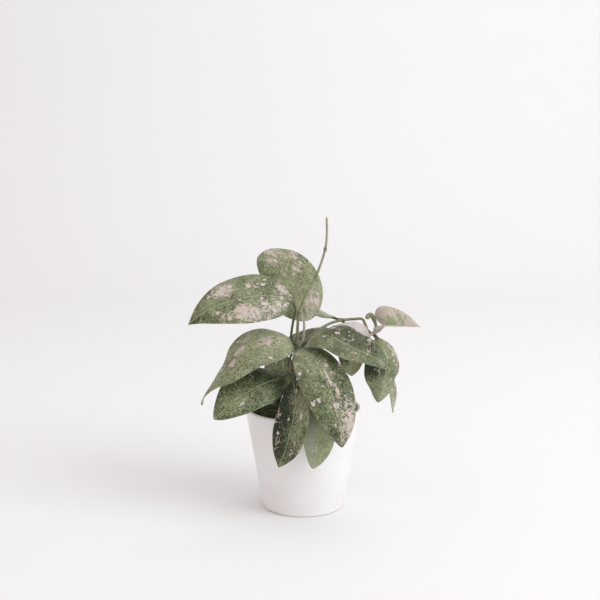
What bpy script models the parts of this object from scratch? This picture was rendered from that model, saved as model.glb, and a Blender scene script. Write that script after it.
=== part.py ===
"""Potted variegated hoya: a white tapered pot, its potting mix, three vines and their leaves.

Frame: metres, +Z up, origin at the middle of the pot's foot, the plant's front towards -Y.
Sizes below are in millimetres. Each piece is one closed solid, and pieces that touch on the
real plant keep a gap of 0.3 mm between them.
"""

import math
from dataclasses import dataclass

import bpy
from mathutils import Vector

MM = 0.001
TOUCH_GAP = 0.3

# Pot
POT_HEIGHT = 105.0
POT_RIM_RADIUS = 60.0
POT_FOOT_RADIUS = 42.5
POT_WALL = 3.0
POT_FLOOR = 4.0
POT_FOOT_ROUNDING = 2.0
POT_SEGMENTS = 48

# Potting mix
SOIL_TOP = 96.0
SOIL_MOUND = 4.0
SOIL_RELIEF = 1.0
SOIL_RINGS = 7
SOIL_SEGMENTS = 36
CUTTER_HEIGHT = 50.0
HOLE_SIDES = 12

# Vines
VINE_SIDES = 8
VINE_RING_STEP = 7.0
JOINT_SWELL = 0.55
JOINT_REACH = 2.5
BUD_LENGTH = 20.0
BUD_START = 8.0

# Leaves
BLADE_CENTRE = 0.9
TIP_CENTRE = 0.5
EDGE_HALF_THICKNESS = 0.35
ACROSS = 6
BLADE_STATIONS = 16
STALK_RING_STEP = 6.0
SEAT_SAMPLES = 8
SEAT_SPAN = 12
SEAT_STEP = 0.1
SEAT_GAP = 0.45
CURVE_STEPS = 24


@dataclass(frozen=True)
class Vine:
    """A stem: its path in mm, the radius at its foot and tip, and which points are leaf joints.

    bud is how much thicker its last stretch is, where it ends in a growing shoot.
    """

    name: str
    path: tuple
    joints: tuple
    foot_radius: float = 1.25
    tip_radius: float = 1.1
    bud: float = 0.0


@dataclass(frozen=True)
class Leaf:
    """A leaf on its stalk: where it grows, the midrib's path in mm, and the blade's form.

    face and tip_face say where the upper side looks at the base and at the tip. fold lifts the
    edges into a channel, curl turns them down, skew widens the side at +v, and lobe draws the
    edges back round the stalk. turn above 1 keeps the first face longer before it turns to the
    last.
    """

    name: str
    vine: str
    joint: int
    path: tuple
    stalk: float
    width: float
    face: tuple
    tip_face: tuple
    widest: float = 0.42
    point: float = 1.0
    fold: float = 0.0
    curl: float = 0.12
    skew: float = 0.0
    lobe: float = 0.1
    turn: float = 1.0
    stalk_radius: float = 1.25


VINES = (
    Vine("vine_main", (
        (-6, 3, 62), (-6, 3, 98), (-6, 3, 106), (-8, 1, 116), (-10, -4, 126), (-12, -10, 143),
        (-7, -12, 172), (-4, -8, 204), (4, -5, 225), (13, -2, 241), (22.3, 2, 268), (24, 3, 284),
        (23.7, 4, 300.5)), (5, 6, 7, 9, 10), foot_radius=1.9),
    Vine("vine_right", (
        (5, 10, 62), (5, 10, 98), (5, 10, 106), (4, 7, 119), (0, 4, 140), (-1, -3, 169),
        (11, 2, 181), (28, 6, 191), (41, 8, 194), (53, 9, 195), (61, 9, 195), (64, 9, 190),
        (67, 9, 183), (72, 8, 180), (75, 8, 187), (73, 8, 195), (70, 8, 199.5), (67, 8, 198.5),
        (66, 8, 195)), (5, 8, 13), foot_radius=1.7, tip_radius=1.3, bud=1.1),
    Vine("vine_low", (
        (-12, -13, 62), (-12, -13, 98), (-12, -13, 106), (-13, -17, 117), (-14, -25, 131),
        (-14, -30, 146), (-11, -31, 157), (-7, -31, 163)), (5, 6), foot_radius=1.6),
)

LEAVES = (
    Leaf("leaf_upper_left", "vine_main", 6,
         ((-12, -8, 178), (-10, -10, 197), (-8, -14, 209), (-13, -17, 218), (-45, -30, 224.5),
          (-78, -40, 218.7), (-98, -44, 210), (-113, -44, 198)),
         46, 55, (0.0, -0.8, 0.6), (-0.2, -0.8, 0.5), widest=0.41, point=1.05, lobe=0.15),
    Leaf("leaf_upper_back", "vine_right", 5,
         ((0, 1, 175), (1, 6, 191), (-2.3, 14, 208), (-8.2, 22, 225), (-18.2, 30, 240),
          (-32.5, 35, 249.3), (-48, 36, 256.5)),
         20.5, 57.5, (0.1, -0.9, 0.45), (-0.3, -0.85, 0.5), widest=0.47, point=0.6, curl=0.15,
         lobe=0.08),
    Leaf("leaf_left", "vine_main", 6,
         ((-13, -18, 177), (-26, -30, 181), (-41, -40, 179.5), (-56.5, -50, 172.5), (-67, -56, 163.5),
          (-75.5, -58, 154), (-84.5, -58, 145), (-93, -57, 135), (-98, -55, 127), (-100, -52, 119)),
         6, 54, (0.0, -0.62, 0.79), (-1.0, 0.0, -0.1), widest=0.38, point=2.1, curl=0.2, lobe=0.32,
         turn=1.6),
    Leaf("leaf_low_left", "vine_main", 5,
         ((-18, -24, 142), (-41, -46, 138), (-65, -62, 127.3), (-87, -68, 109)),
         17, 49, (-0.1, -0.75, 0.65), (-0.3, -0.85, 0.45), widest=0.42, point=0.8, curl=0.15,
         skew=0.16, lobe=0.12),
    Leaf("leaf_front", "vine_main", 6,
         ((-3, -24, 170), (8, -43, 166), (19, -62, 152), (29, -78, 131), (35, -86, 109),
          (37, -86, 86)),
         9, 49, (0.1, -0.6, 0.8), (0.2, -0.97, 0.0), widest=0.49, point=0.85, skew=0.05, lobe=0.2),
    Leaf("leaf_front_low", "vine_low", 5,
         ((-12, -37, 144), (-8, -56, 133), (-9, -72, 113), (-15, -77, 88), (-24, -76, 63)),
         12, 35, (-0.3, -0.8, 0.5), (-0.4, -0.9, 0.0), widest=0.6, fold=0.25, curl=0.0),
    Leaf("leaf_centre_low", "vine_low", 6,
         ((-5, -35, 153), (4, -43, 143), (12, -56, 126), (15, -70, 104), (14, -73, 82), (9, -70, 60)),
         24, 34, (0.1, -0.9, 0.4), (0.0, -1.0, 0.0), widest=0.5, point=0.72),
    Leaf("leaf_right", "vine_right", 5,
         ((7, -10, 178), (18, -24, 184), (32, -38, 183), (49, -50, 176), (64, -56, 171),
          (77, -57, 163), (85, -54, 154)),
         9, 42, (0.0, -0.5, 0.87), (0.5, -0.75, 0.3), widest=0.38, fold=0.1, skew=-0.12, lobe=0.2),
    Leaf("leaf_right_drop", "vine_right", 13,
         ((76, 4, 176), (83, -4, 165), (86, -9, 152), (84, -10, 138), (82, -8, 124),
          (77, -6, 110)),
         5, 40, (0.4, -0.8, 0.4), (0.3, -0.95, 0.0), widest=0.4, point=0.75, fold=-0.35, skew=0.1),
    Leaf("leaf_back_right", "vine_right", 13,
         ((76, 18, 176), (82, 36, 164), (89, 50, 138), (99, 56, 107), (98, 52, 84)),
         14, 34, (0.4, -0.2, 0.9), (0.9, -0.45, 0.0)),
    Leaf("leaf_young", "vine_right", 13,
         ((78, 3, 184), (83, -3, 190), (95, -4, 190), (108, -4, 189.5), (120, -3, 189)),
         12, 30, (0.0, -0.53, 0.85), (0.0, -0.53, 0.85), widest=0.2, point=1.2, fold=0.95,
         curl=0.0, lobe=1.1, stalk_radius=1.7),
    Leaf("leaf_young_pale", "vine_right", 13,
         ((68, 0, 179), (59, -6, 183), (45, -9, 186.5), (29, -6, 190.5)),
         6, 22, (0.0, -0.9, 0.45), (0.0, -0.9, 0.45), point=1.2),
    Leaf("leaf_small_right", "vine_right", 8,
         ((43, 11, 187), (47, 10, 178), (50, 8, 166), (50.5, 5, 152), (50, 3, 136)),
         12, 27, (0.1, -0.95, 0.3), (0.0, -1.0, 0.1), widest=0.5, point=0.75, skew=0.05),
    Leaf("leaf_back_centre", "vine_right", 5,
         ((-1, 10, 174), (3, 30, 179), (5, 55, 173), (5, 80, 148), (4, 92, 118)),
         12, 44, (-0.25, 0.1, 1.0), (0.0, 1.0, 0.1)),
    Leaf("leaf_back_left", "vine_main", 5,
         ((-15, -2, 151), (-12, 3, 160), (-14, 8, 163), (-19, 11, 156), (-23, 13, 142),
          (-28, 18, 124), (-29, 24, 102)),
         34, 38, (-0.2, -0.9, 0.3), (-0.2, -0.9, 0.3), point=0.6),
    Leaf("leaf_back_upper", "vine_right", 8,
         ((34, 18, 194), (22, 33, 196), (6, 44, 200), (-12, 50, 200), (-32, 54, 195)),
         12, 26, (0.1, 0.05, 1.0), (-0.3, 0.0, 0.95)),
)


def clear_scene():
    """Remove every object, so the model starts from nothing."""
    for obj in list(bpy.data.objects):
        bpy.data.objects.remove(obj, do_unlink=True)


def material(name, colour, roughness):
    """Return a Principled material of one linear colour and roughness."""
    made = bpy.data.materials.new(name)
    made.use_nodes = True
    shader = made.node_tree.nodes["Principled BSDF"]
    shader.inputs["Base Color"].default_value = (*colour, 1.0)
    shader.inputs["Roughness"].default_value = roughness
    shader.inputs["Metallic"].default_value = 0.0
    made.diffuse_color = (*colour, 1.0)
    return made


def link_mesh(name, verts, faces, finish):
    """Make an object from points in mm and faces, smooth-shaded, in its material."""
    mesh = bpy.data.meshes.new(name)
    mesh.from_pydata([Vector(v) * MM for v in verts], [], faces)
    mesh.validate()
    mesh.shade_smooth()
    mesh.set_sharp_from_angle(angle=math.radians(40))
    mesh.materials.append(finish)
    obj = bpy.data.objects.new(name, mesh)
    bpy.context.scene.collection.objects.link(obj)
    return obj


def arc(centre, radius, start, end, steps):
    """Points of a circular arc in the (radius, height) plane, angles in degrees."""
    angles = [math.radians(start + (end - start) * k / steps) for k in range(steps + 1)]
    return [(centre[0] + radius * math.cos(a), centre[1] + radius * math.sin(a)) for a in angles]


def turned(profile, segments, height=None):
    """Revolve a profile that starts and ends on the axis, and runs outwards at its bottom.

    height(x, y, z), where given, returns a new z for each point.
    """
    verts = []
    rings = []
    for radius, z in profile:
        count = 1 if radius == 0 else segments
        rings.append(range(len(verts), len(verts) + count))
        for k in range(count):
            turn = 2 * math.pi * k / segments
            x, y = radius * math.cos(turn), radius * math.sin(turn)
            verts.append((x, y, height(x, y, z) if height else z))
    faces = []
    for low, high in zip(rings, rings[1:]):
        for k in range(segments):
            after = (k + 1) % segments
            corners = (low[k % len(low)], low[after % len(low)],
                       high[after % len(high)], high[k % len(high)])
            faces.append(tuple(dict.fromkeys(corners)))
    return verts, faces


def curve_points(points):
    """Return a smooth centripetal curve through the points, as many short steps."""
    pts = [Vector(p) for p in points]
    ends = [2 * pts[0] - pts[1]] + pts + [2 * pts[-1] - pts[-2]]
    smooth = [pts[0].copy()]
    for a, b, c, d in zip(ends, ends[1:], ends[2:], ends[3:]):
        t1 = math.sqrt((b - a).length)
        t2 = t1 + math.sqrt((c - b).length)
        t3 = t2 + math.sqrt((d - c).length)
        for k in range(1, CURVE_STEPS + 1):
            t = t1 + (t2 - t1) * k / CURVE_STEPS
            ab = a * ((t1 - t) / t1) + b * (t / t1)
            bc = b * ((t2 - t) / (t2 - t1)) + c * ((t - t1) / (t2 - t1))
            cd = c * ((t3 - t) / (t3 - t2)) + d * ((t - t2) / (t3 - t2))
            abc = ab * ((t2 - t) / t2) + bc * (t / t2)
            bcd = bc * ((t3 - t) / (t3 - t1)) + cd * ((t - t1) / (t3 - t1))
            smooth.append(abc * ((t2 - t) / (t2 - t1)) + bcd * ((t - t1) / (t2 - t1)))
    return smooth


class Route:
    """A smooth curve read by its length from the start."""

    def __init__(self, points):
        """Keep the curve through the points, with the running length at each."""
        self.points = curve_points(points)
        self.marks = [0.0]
        for a, b in zip(self.points, self.points[1:]):
            self.marks.append(self.marks[-1] + (b - a).length)
        self.length = self.marks[-1]

    def at(self, distance):
        """Return the point at this length along the curve."""
        distance = min(max(distance, 0.0), self.length)
        for k in range(len(self.marks) - 1):
            if distance <= self.marks[k + 1]:
                share = (distance - self.marks[k]) / (self.marks[k + 1] - self.marks[k])
                return self.points[k].lerp(self.points[k + 1], share)
        return self.points[-1].copy()

    def direction(self, distance):
        """Return the unit tangent at this length."""
        step = 0.4
        return (self.at(distance + step) - self.at(distance - step)).normalized()

    def length_to(self, index):
        """Return the length along the curve to one of the points it was made from."""
        return self.marks[index * CURVE_STEPS]


def vine_stations(vine, route):
    """Return the lengths at which a vine has a ring: evenly, and round each joint."""
    count = round(route.length / VINE_RING_STEP)
    even = [route.length * k / count for k in range(count + 1)]
    near = []
    for joint in vine.joints:
        middle = route.length_to(joint)
        near += [middle - JOINT_REACH, middle, middle + JOINT_REACH]
    near = [s for s in near if 0 < s < route.length - 1]
    kept = [s for s in even if s in (0, route.length) or all(abs(s - n) > 2.5 for n in near)]
    return sorted(kept + near)


def vine_radius(vine, route, distance):
    """Return the vine's radius: an even taper with a swelling at each joint."""
    share = distance / route.length
    radius = vine.foot_radius + (vine.tip_radius - vine.foot_radius) * share
    for joint in vine.joints:
        offset = (distance - route.length_to(joint)) / JOINT_REACH
        radius += JOINT_SWELL * math.exp(-2.5 * offset * offset)
    grown = (distance - route.length + BUD_LENGTH) / BUD_START
    return radius + vine.bud * min(1.0, max(0.0, grown))


def make_vine(vine, finish):
    """Build a vine as one tube with closed ends."""
    route = Route(vine.path)
    verts = []
    side = Vector((1, 0, 0))
    stations = vine_stations(vine, route)
    for distance in stations:
        along = route.direction(distance)
        side = (side - along * side.dot(along)).normalized()
        other = along.cross(side)
        radius = vine_radius(vine, route, distance)
        for k in range(VINE_SIDES):
            turn = 2 * math.pi * k / VINE_SIDES
            verts.append(route.at(distance) + radius * (side * math.cos(turn) + other * math.sin(turn)))
    faces = [tuple(reversed(range(VINE_SIDES)))]
    for ring in range(len(stations) - 1):
        base = ring * VINE_SIDES
        for k in range(VINE_SIDES):
            after = (k + 1) % VINE_SIDES
            faces.append((base + k, base + after, base + VINE_SIDES + after, base + VINE_SIDES + k))
    last = (len(stations) - 1) * VINE_SIDES
    faces.append(tuple(range(last, last + VINE_SIDES)))
    return link_mesh(vine.name, verts, faces, finish)


def seat_distance(vine, stem, middle, away, stalk_radius):
    """Return how far from its joint a stalk's round end starts, to clear the vine by the gap."""
    joint = stem.at(middle)
    side = away.orthogonal().normalized()
    other = away.cross(side)
    turns = [2 * math.pi * k / SEAT_SAMPLES for k in range(SEAT_SAMPLES)]
    rim = [stalk_radius * (side * math.cos(t) + other * math.sin(t)) for t in turns]
    marks = [middle + SEAT_SPAN * (2 * k / SEAT_SPAN - 1) for k in range(SEAT_SPAN + 1)]
    near = [(stem.at(m), vine_radius(vine, stem, m)) for m in marks]
    reach = stalk_radius
    while min((joint + away * reach + r - p).length - radius for r in rim for p, radius in near) < SEAT_GAP:
        reach += SEAT_STEP
    return reach


def leaf_route(leaf):
    """Return the leaf's route, from just off its vine's joint to the blade's tip."""
    vine = next(v for v in VINES if v.name == leaf.vine)
    stem = Route(vine.path)
    middle = stem.length_to(leaf.joint)
    joint = stem.at(middle)
    away = (Vector(leaf.path[0]) - joint).normalized()
    reach = seat_distance(vine, stem, middle, away, leaf.stalk_radius)
    return Route((joint + away * reach,) + leaf.path)


def leaf_stations(leaf, route):
    """Return (length, share) pairs: rings up the stalk at share 0, then the blade to share 1."""
    rings = max(2, round(leaf.stalk / STALK_RING_STEP))
    stations = [(leaf.stalk * k / rings, 0.0) for k in range(rings)]
    for k in range(BLADE_STATIONS + 1):
        even = k / BLADE_STATIONS
        share = 0.5 * even + 0.5 * (0.5 - 0.5 * math.cos(math.pi * even))
        stations.append((leaf.stalk + (route.length - leaf.stalk) * share, share))
    return stations


def blade_shape(leaf, share):
    """Return the blade's half-width at this share of its length, from 0 to 1."""
    if share < leaf.widest:
        return (1 - ((leaf.widest - share) / leaf.widest) ** 2) ** 0.55
    rest = (share - leaf.widest) / (1 - leaf.widest)
    return max(0.0, 1 - rest * rest) ** leaf.point


def leaf_section(leaf, share):
    """Return one cross-section: (across, back, middle, thick) for each of its points, in mm."""
    stalk = leaf.stalk_radius + (TIP_CENTRE - leaf.stalk_radius) * share
    half = math.hypot(stalk, 0.5 * leaf.width * blade_shape(leaf, share))
    spread = (half - stalk) / half
    blend = min(1.0, spread * 2)
    blade = BLADE_CENTRE + (TIP_CENTRE - BLADE_CENTRE) * share
    centre = leaf.stalk_radius + (blade - leaf.stalk_radius) * blend
    points = []
    for j in range(ACROSS + 1):
        v = -math.cos(math.pi * j / ACROSS)
        middle = half * spread * (leaf.fold * abs(v) - leaf.curl * v * v)
        thick = max(EDGE_HALF_THICKNESS, centre * math.sqrt(max(0.0, 1 - v * v)))
        across = half * v * (1 + leaf.skew * spread * (1 if v > 0 else -1))
        back = leaf.lobe * half * spread * v * v * (1 - share) ** 3
        points.append((across, back, middle, thick))
    return points


def leaf_faces(count):
    """Return the faces of a lofted leaf: both sides split alike, two rims and two ends."""
    row = 2 * (ACROSS + 1)

    def top(k, j):
        return k * row + j

    def under(k, j):
        return k * row + ACROSS + 1 + j

    faces = []
    for k in range(count - 1):
        for j in range(ACROSS):
            faces.append((top(k, j), top(k, j + 1), top(k + 1, j + 1)))
            faces.append((top(k, j), top(k + 1, j + 1), top(k + 1, j)))
            faces.append((under(k, j), under(k + 1, j + 1), under(k, j + 1)))
            faces.append((under(k, j), under(k + 1, j), under(k + 1, j + 1)))
        faces.append((top(k, ACROSS), under(k, ACROSS), under(k + 1, ACROSS), top(k + 1, ACROSS)))
        faces.append((top(k, 0), top(k + 1, 0), under(k + 1, 0), under(k, 0)))
    last = count - 1
    across = range(ACROSS + 1)
    faces.append(tuple(under(0, j) for j in across) + tuple(top(0, j) for j in reversed(across)))
    faces.append(tuple(top(last, j) for j in across) + tuple(under(last, j) for j in reversed(across)))
    return faces


def make_leaf(leaf, finish):
    """Build one leaf, stalk and blade together, as a closed lofted solid."""
    route = leaf_route(leaf)
    stations = leaf_stations(leaf, route)
    verts = []
    for distance, share in stations:
        along = route.direction(distance)
        facing = Vector(leaf.face).lerp(Vector(leaf.tip_face), share ** leaf.turn)
        normal = (facing - along * facing.dot(along)).normalized()
        side = along.cross(normal)
        section = leaf_section(leaf, share)
        rib = route.at(distance)
        for half in (1, -1):
            for across, back, middle, thick in section:
                verts.append(rib + side * across - along * back + normal * (middle + half * thick))
    return link_mesh(leaf.name, verts, leaf_faces(len(stations)), finish)


def inner_radius(z):
    """Return the radius of the pot's inner wall at this height."""
    slope = (POT_RIM_RADIUS - POT_FOOT_RADIUS) / POT_HEIGHT
    return POT_FOOT_RADIUS + slope * z - POT_WALL


def make_pot(finish):
    """Build the pot: a plain cone with a rounded foot edge and a rounded lip."""
    lip = POT_WALL / 2
    profile = [(0, 0)]
    profile += arc((POT_FOOT_RADIUS - POT_FOOT_ROUNDING, POT_FOOT_ROUNDING), POT_FOOT_ROUNDING, -90, 0, 3)
    profile += arc((POT_RIM_RADIUS - lip, POT_HEIGHT - lip), lip, 0, 180, 6)
    profile += [(inner_radius(POT_FLOOR), POT_FLOOR), (0, POT_FLOOR)]
    verts, faces = turned(profile, POT_SEGMENTS)
    return link_mesh("pot", verts, faces, finish)


def soil_height(x, y, z):
    """Return the soil's height at a point: its top is mounded and slightly uneven."""
    if z < SOIL_TOP:
        return z
    share = math.hypot(x, y) / inner_radius(SOIL_TOP)
    relief = math.sin(0.31 * x + 0.7) * math.cos(0.27 * y - 0.4) + 0.5 * math.sin(0.55 * (x - y))
    return z + SOIL_MOUND * (1 - share * share) + SOIL_RELIEF * relief * (1 - share ** 4)


def make_potting_mix(finish):
    """Build the potting mix that fills the pot, with a plain hole for each vine."""
    low = POT_FLOOR + TOUCH_GAP
    edge = inner_radius(SOIL_TOP) - TOUCH_GAP
    profile = [(0, low), (inner_radius(low) - 2 * TOUCH_GAP, low)]
    profile += [(edge * ring / SOIL_RINGS, SOIL_TOP) for ring in range(SOIL_RINGS, -1, -1)]
    verts, faces = turned(profile, SOIL_SEGMENTS, soil_height)
    mix = link_mesh("potting_mix", verts, faces, finish)
    for vine in VINES:
        cut_hole(mix, vine)
    return mix


def cut_hole(mix, vine):
    """Cut the straight hole that a vine's foot stands in."""
    foot = Vector(vine.path[0])
    radius = (vine.foot_radius + TOUCH_GAP) / math.cos(math.pi / HOLE_SIDES)
    verts, faces = turned([(0, 0), (radius, 0), (radius, CUTTER_HEIGHT), (0, CUTTER_HEIGHT)], HOLE_SIDES)
    bottom = foot - Vector((0, 0, TOUCH_GAP))
    placed = [bottom + Vector(v) for v in verts]
    cutter = link_mesh("cutter_" + vine.name, placed, faces, mix.data.materials[0])
    cutter.hide_render = True
    cutter.display_type = "WIRE"
    cut = mix.modifiers.new("hole_" + vine.name, "BOOLEAN")
    cut.operation = "DIFFERENCE"
    cut.solver = "EXACT"
    cut.object = cutter


def main():
    """Build every piece."""
    clear_scene()
    make_pot(material("glazed_white", (0.83, 0.80, 0.79), 0.35))
    make_potting_mix(material("potting_mix", (0.025, 0.018, 0.012), 0.95))
    stem = material("vine_bark", (0.16, 0.17, 0.08), 0.6)
    for vine in VINES:
        make_vine(vine, stem)
    for leaf in LEAVES:
        make_leaf(leaf, material("leaf_green_" + leaf.name, (0.13, 0.17, 0.07), 0.45))


main()
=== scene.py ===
"""Potted variegated hoya: the fine surface and finish of every piece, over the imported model.

Frame: metres, +Z up, origin at the middle of the pot's foot, the plant's front towards -Y.
The classes hold real sizes in millimetres, which MM turns to metres where a mesh is made.
"""

import logging
import math
from collections.abc import Sequence
from dataclasses import dataclass
from enum import Enum

import bpy
import numpy as np
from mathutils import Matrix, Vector


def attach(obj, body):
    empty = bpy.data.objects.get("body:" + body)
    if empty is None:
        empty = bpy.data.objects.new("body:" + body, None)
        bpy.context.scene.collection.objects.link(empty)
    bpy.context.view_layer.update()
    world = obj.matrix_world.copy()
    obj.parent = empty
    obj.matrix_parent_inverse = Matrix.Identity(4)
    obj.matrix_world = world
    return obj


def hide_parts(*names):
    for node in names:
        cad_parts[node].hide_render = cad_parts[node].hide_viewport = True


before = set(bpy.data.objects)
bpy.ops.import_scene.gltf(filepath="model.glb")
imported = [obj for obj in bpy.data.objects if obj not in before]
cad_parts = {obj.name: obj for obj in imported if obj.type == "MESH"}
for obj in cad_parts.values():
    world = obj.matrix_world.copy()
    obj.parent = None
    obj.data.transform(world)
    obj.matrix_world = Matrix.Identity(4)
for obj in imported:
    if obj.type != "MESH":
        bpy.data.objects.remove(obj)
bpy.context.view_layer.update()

MM = 0.001
LOG = logging.getLogger("potted_hoya")

# Points of a turned form that are closer than this, in metres, become one.
WELD = 1e-6
# How far a crumb tilts, in radians, and the noise that makes it knobbly.
CRUMB_TILT = 0.6
KNOB_SCALE = 1.6
KNOB_PUSH = 2.2

# Short names for the types that many functions take or return.
Point = tuple[float, float, float]
Profile = list[tuple[float, float]]
Tree = bpy.types.NodeTree
Socket = bpy.types.NodeSocket
Finish = bpy.types.Material
Piece = bpy.types.Object
Value = float | int | bool | str | Sequence[float] | Socket | bpy.types.ID


def srgb(code: str) -> tuple[float, float, float, float]:
    """Turn a colour written as sRGB hex into linear red, green, blue and alpha.

    Args:
        code: The colour as "#RRGGBB".

    Returns:
        The linear colour with an alpha of 1.
    """
    parts = [int(code[k:k + 2], 16) / 255 for k in (1, 3, 5)]
    linear = [c / 12.92 if c <= 0.04045 else ((c + 0.055) / 1.055) ** 2.4 for c in parts]
    return (linear[0], linear[1], linear[2], 1.0)


def feed(tree: Tree, node: bpy.types.Node, inputs: dict[int | str, Value]) -> None:
    """Set or link a node's inputs.

    Args:
        tree: The tree that the node is in.
        node: The node.
        inputs: A value or a socket for each input, by its name or number.
    """
    for key, value in inputs.items():
        if isinstance(value, Socket):
            tree.links.new(value, node.inputs[key])
        else:
            node.inputs[key].default_value = value


def add(tree: Tree, kind: str, inputs: dict[int | str, Value] | None = None,
        out: int | str = 0, **settings: Value) -> Socket:
    """Add a node with its settings, and set or link its inputs.

    Args:
        tree: The tree that the node goes into.
        kind: The node's type name.
        inputs: A value or a socket for each input, by its name or number.
        out: The output that is wanted, by its name or number.
        **settings: The node's own properties.

    Returns:
        The wanted output socket.
    """
    made = tree.nodes.new(kind)
    for key, value in settings.items():
        setattr(made, key, value)
    feed(tree, made, inputs or {})
    return made.outputs[out]


def new_finish(name: str) -> tuple[Finish, Tree, bpy.types.Node]:
    """Start a material with only its Principled shader.

    Args:
        name: The material's name.

    Returns:
        The material, its node tree and its shader node.
    """
    made = bpy.data.materials.new(name)
    made.use_nodes = True
    return made, made.node_tree, made.node_tree.nodes["Principled BSDF"]


class LeafAge(Enum):
    """How grown a leaf is, which settles its skin."""

    GROWN = "grown"
    YOUNG = "young"
    UNFURLING = "unfurling"


@dataclass(frozen=True)
class SatinGlaze:
    """White satin glaze on a slip-cast pot.

    To the eye it is an even soft white with a broad, slightly blurred highlight, faintly warmer
    where the glaze runs thin over the lip and the foot's edge. The inner wall is stained grey by
    the damp mix.
    """

    name: str = "satin_white_glaze"
    white: str = "#EFEDEE"
    warm: str = "#E0D5CC"
    stain: str = "#A5A294"
    cloud_mm: float = 30.0
    pinhole_mm: float = 1.2
    thin_edge_mm: float = 1.6
    stain_from_mm: float = 3.0
    stain_full_mm: float = 8.0
    stain_low_mm: float = 10.0
    stain_edge_mm: float = 0.4

    def make(self, height: float, mouth: float) -> Finish:
        """Build the glaze for a pot.

        Args:
            height: The pot's height in mm, where the glaze thins over the lip.
            mouth: The radius in mm inside which the wall is stained.

        Returns:
            The material.
        """
        made, tree, shader = new_finish(self.name)
        place = add(tree, "ShaderNodeTexCoord", out="Object")
        cloud, fine = (
            add(tree, "ShaderNodeTexNoise", {"Vector": place, "Scale": 1 / (size * MM), "Detail": detail})
            for size, detail in ((self.cloud_mm, 3.0), (self.pinhole_mm, 2.0)))
        up = add(tree, "ShaderNodeSeparateXYZ", {"Vector": place}, "Z")
        lip, foot = (
            add(tree, "ShaderNodeMapRange", {"Value": up, "From Min": inner * MM, "From Max": outer * MM,
                                             "To Max": most}, interpolation_type="SMOOTHSTEP")
            for inner, outer, most in ((height - self.thin_edge_mm, height, 0.8),
                                       (self.thin_edge_mm, 0.0, 0.7)))
        edges = add(tree, "ShaderNodeMath", {0: lip, 1: foot}, operation="MAXIMUM")
        drift = add(tree, "ShaderNodeMapRange",
                    {"Value": cloud, "From Min": 0.35, "From Max": 0.7, "To Max": 0.25})
        warmth = add(tree, "ShaderNodeMath", {0: edges, 1: drift}, operation="ADD", use_clamp=True)
        clean = add(tree, "ShaderNodeMix", {0: warmth, 6: srgb(self.white), 7: srgb(self.warm)},
                    2, data_type="RGBA")
        flat = add(tree, "ShaderNodeVectorMath", {0: place, 1: (1.0, 1.0, 0.0)}, operation="MULTIPLY")
        radius = add(tree, "ShaderNodeVectorMath", {0: flat}, "Value", operation="LENGTH")
        within = add(tree, "ShaderNodeMapRange", {
            "Value": radius, "From Min": mouth * MM, "From Max": (mouth - self.stain_edge_mm) * MM})
        damp = add(tree, "ShaderNodeMath", {0: within, 1: self._over_mix(tree, up, height)},
                   operation="MULTIPLY")
        colour = add(tree, "ShaderNodeMix", {0: damp, 6: clean, 7: srgb(self.stain)}, 2, data_type="RGBA")
        rough = add(tree, "ShaderNodeMapRange",
                    {"Value": cloud, "From Min": 0.3, "From Max": 0.7, "To Min": 0.27, "To Max": 0.37})
        relief = add(tree, "ShaderNodeMath", {0: cloud, 1: 0.75, 2: fine}, operation="MULTIPLY_ADD")
        bump = add(tree, "ShaderNodeBump", {"Strength": 0.25, "Distance": 0.08 * MM, "Height": relief})
        feed(tree, shader, {"Base Color": colour, "Roughness": rough, "Normal": bump,
                            "IOR": 1.5, "Coat Weight": 0.2, "Coat Roughness": 0.12})
        return made

    def _over_mix(self, tree: Tree, up: Socket, height: float) -> Socket:
        """Find the band of the wall just over the mix.

        Args:
            tree: The material's node tree.
            up: The height of the place.
            height: The pot's height in mm.

        Returns:
            1 in the band, fading towards the lip, and 0 lower down, where the outside is as narrow.
        """
        low = height - self.stain_low_mm
        over = add(tree, "ShaderNodeMapRange", {
            "Value": up, "From Min": (low - 1) * MM, "From Max": low * MM})
        under = add(tree, "ShaderNodeMapRange", {
            "Value": up, "From Min": (height - self.stain_from_mm) * MM,
            "From Max": (height - self.stain_full_mm) * MM})
        return add(tree, "ShaderNodeMath", {0: over, 1: under}, operation="MULTIPLY")


@dataclass(frozen=True)
class BarkMix:
    """Damp potting mix of composted bark and peat.

    To the eye it is near black between its crumbs, with chips in a mossy dark brown: damp peat's own
    dark colour, made darker and greener as painted shade for the deep shade under the leaves.
    """

    name: str = "damp_bark_and_peat_in_painted_shade"
    # Painted shade: these colours are darkened and greened for the deep shade that the leaves cast.
    wet_and_painted_shade: str = "#262C1B"
    peat: str = "#3D4528"
    bark: str = "#55583B"
    grain_mm: float = 2.4
    dust_mm: float = 0.6

    def make(self) -> Finish:
        """Build the mix, whose chips each carry a random share of the bark colour in the attribute
        chip_tone.

        Returns:
            The material.
        """
        made, tree, shader = new_finish(self.name)
        place = add(tree, "ShaderNodeTexCoord", out="Object")
        chip = add(tree, "ShaderNodeAttribute", out="Fac", attribute_name="chip_tone")
        grain, dust_and_painted_sheen = (
            add(tree, "ShaderNodeTexNoise", {"Vector": place, "Scale": 1 / (size * MM), "Detail": detail})
            for size, detail in ((self.grain_mm, 5.0), (self.dust_mm, 2.0)))
        damp = add(tree, "ShaderNodeMapRange", {"Value": grain, "From Min": 0.35, "From Max": 0.65})
        ground = add(tree, "ShaderNodeMix", {0: damp, 6: srgb(self.wet_and_painted_shade), 7: srgb(self.peat)},
                     2, data_type="RGBA")
        dry = add(tree, "ShaderNodeMath", {0: chip, 1: dust_and_painted_sheen}, operation="MULTIPLY")
        colour = add(tree, "ShaderNodeMix", {0: dry, 6: ground, 7: srgb(self.bark)}, 2, data_type="RGBA")
        bump = add(tree, "ShaderNodeBump", {"Strength": 0.8, "Distance": 0.5 * MM, "Height": grain})
        feed(tree, shader, {"Base Color": colour, "Roughness": 0.92, "Normal": bump})
        return made


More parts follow.
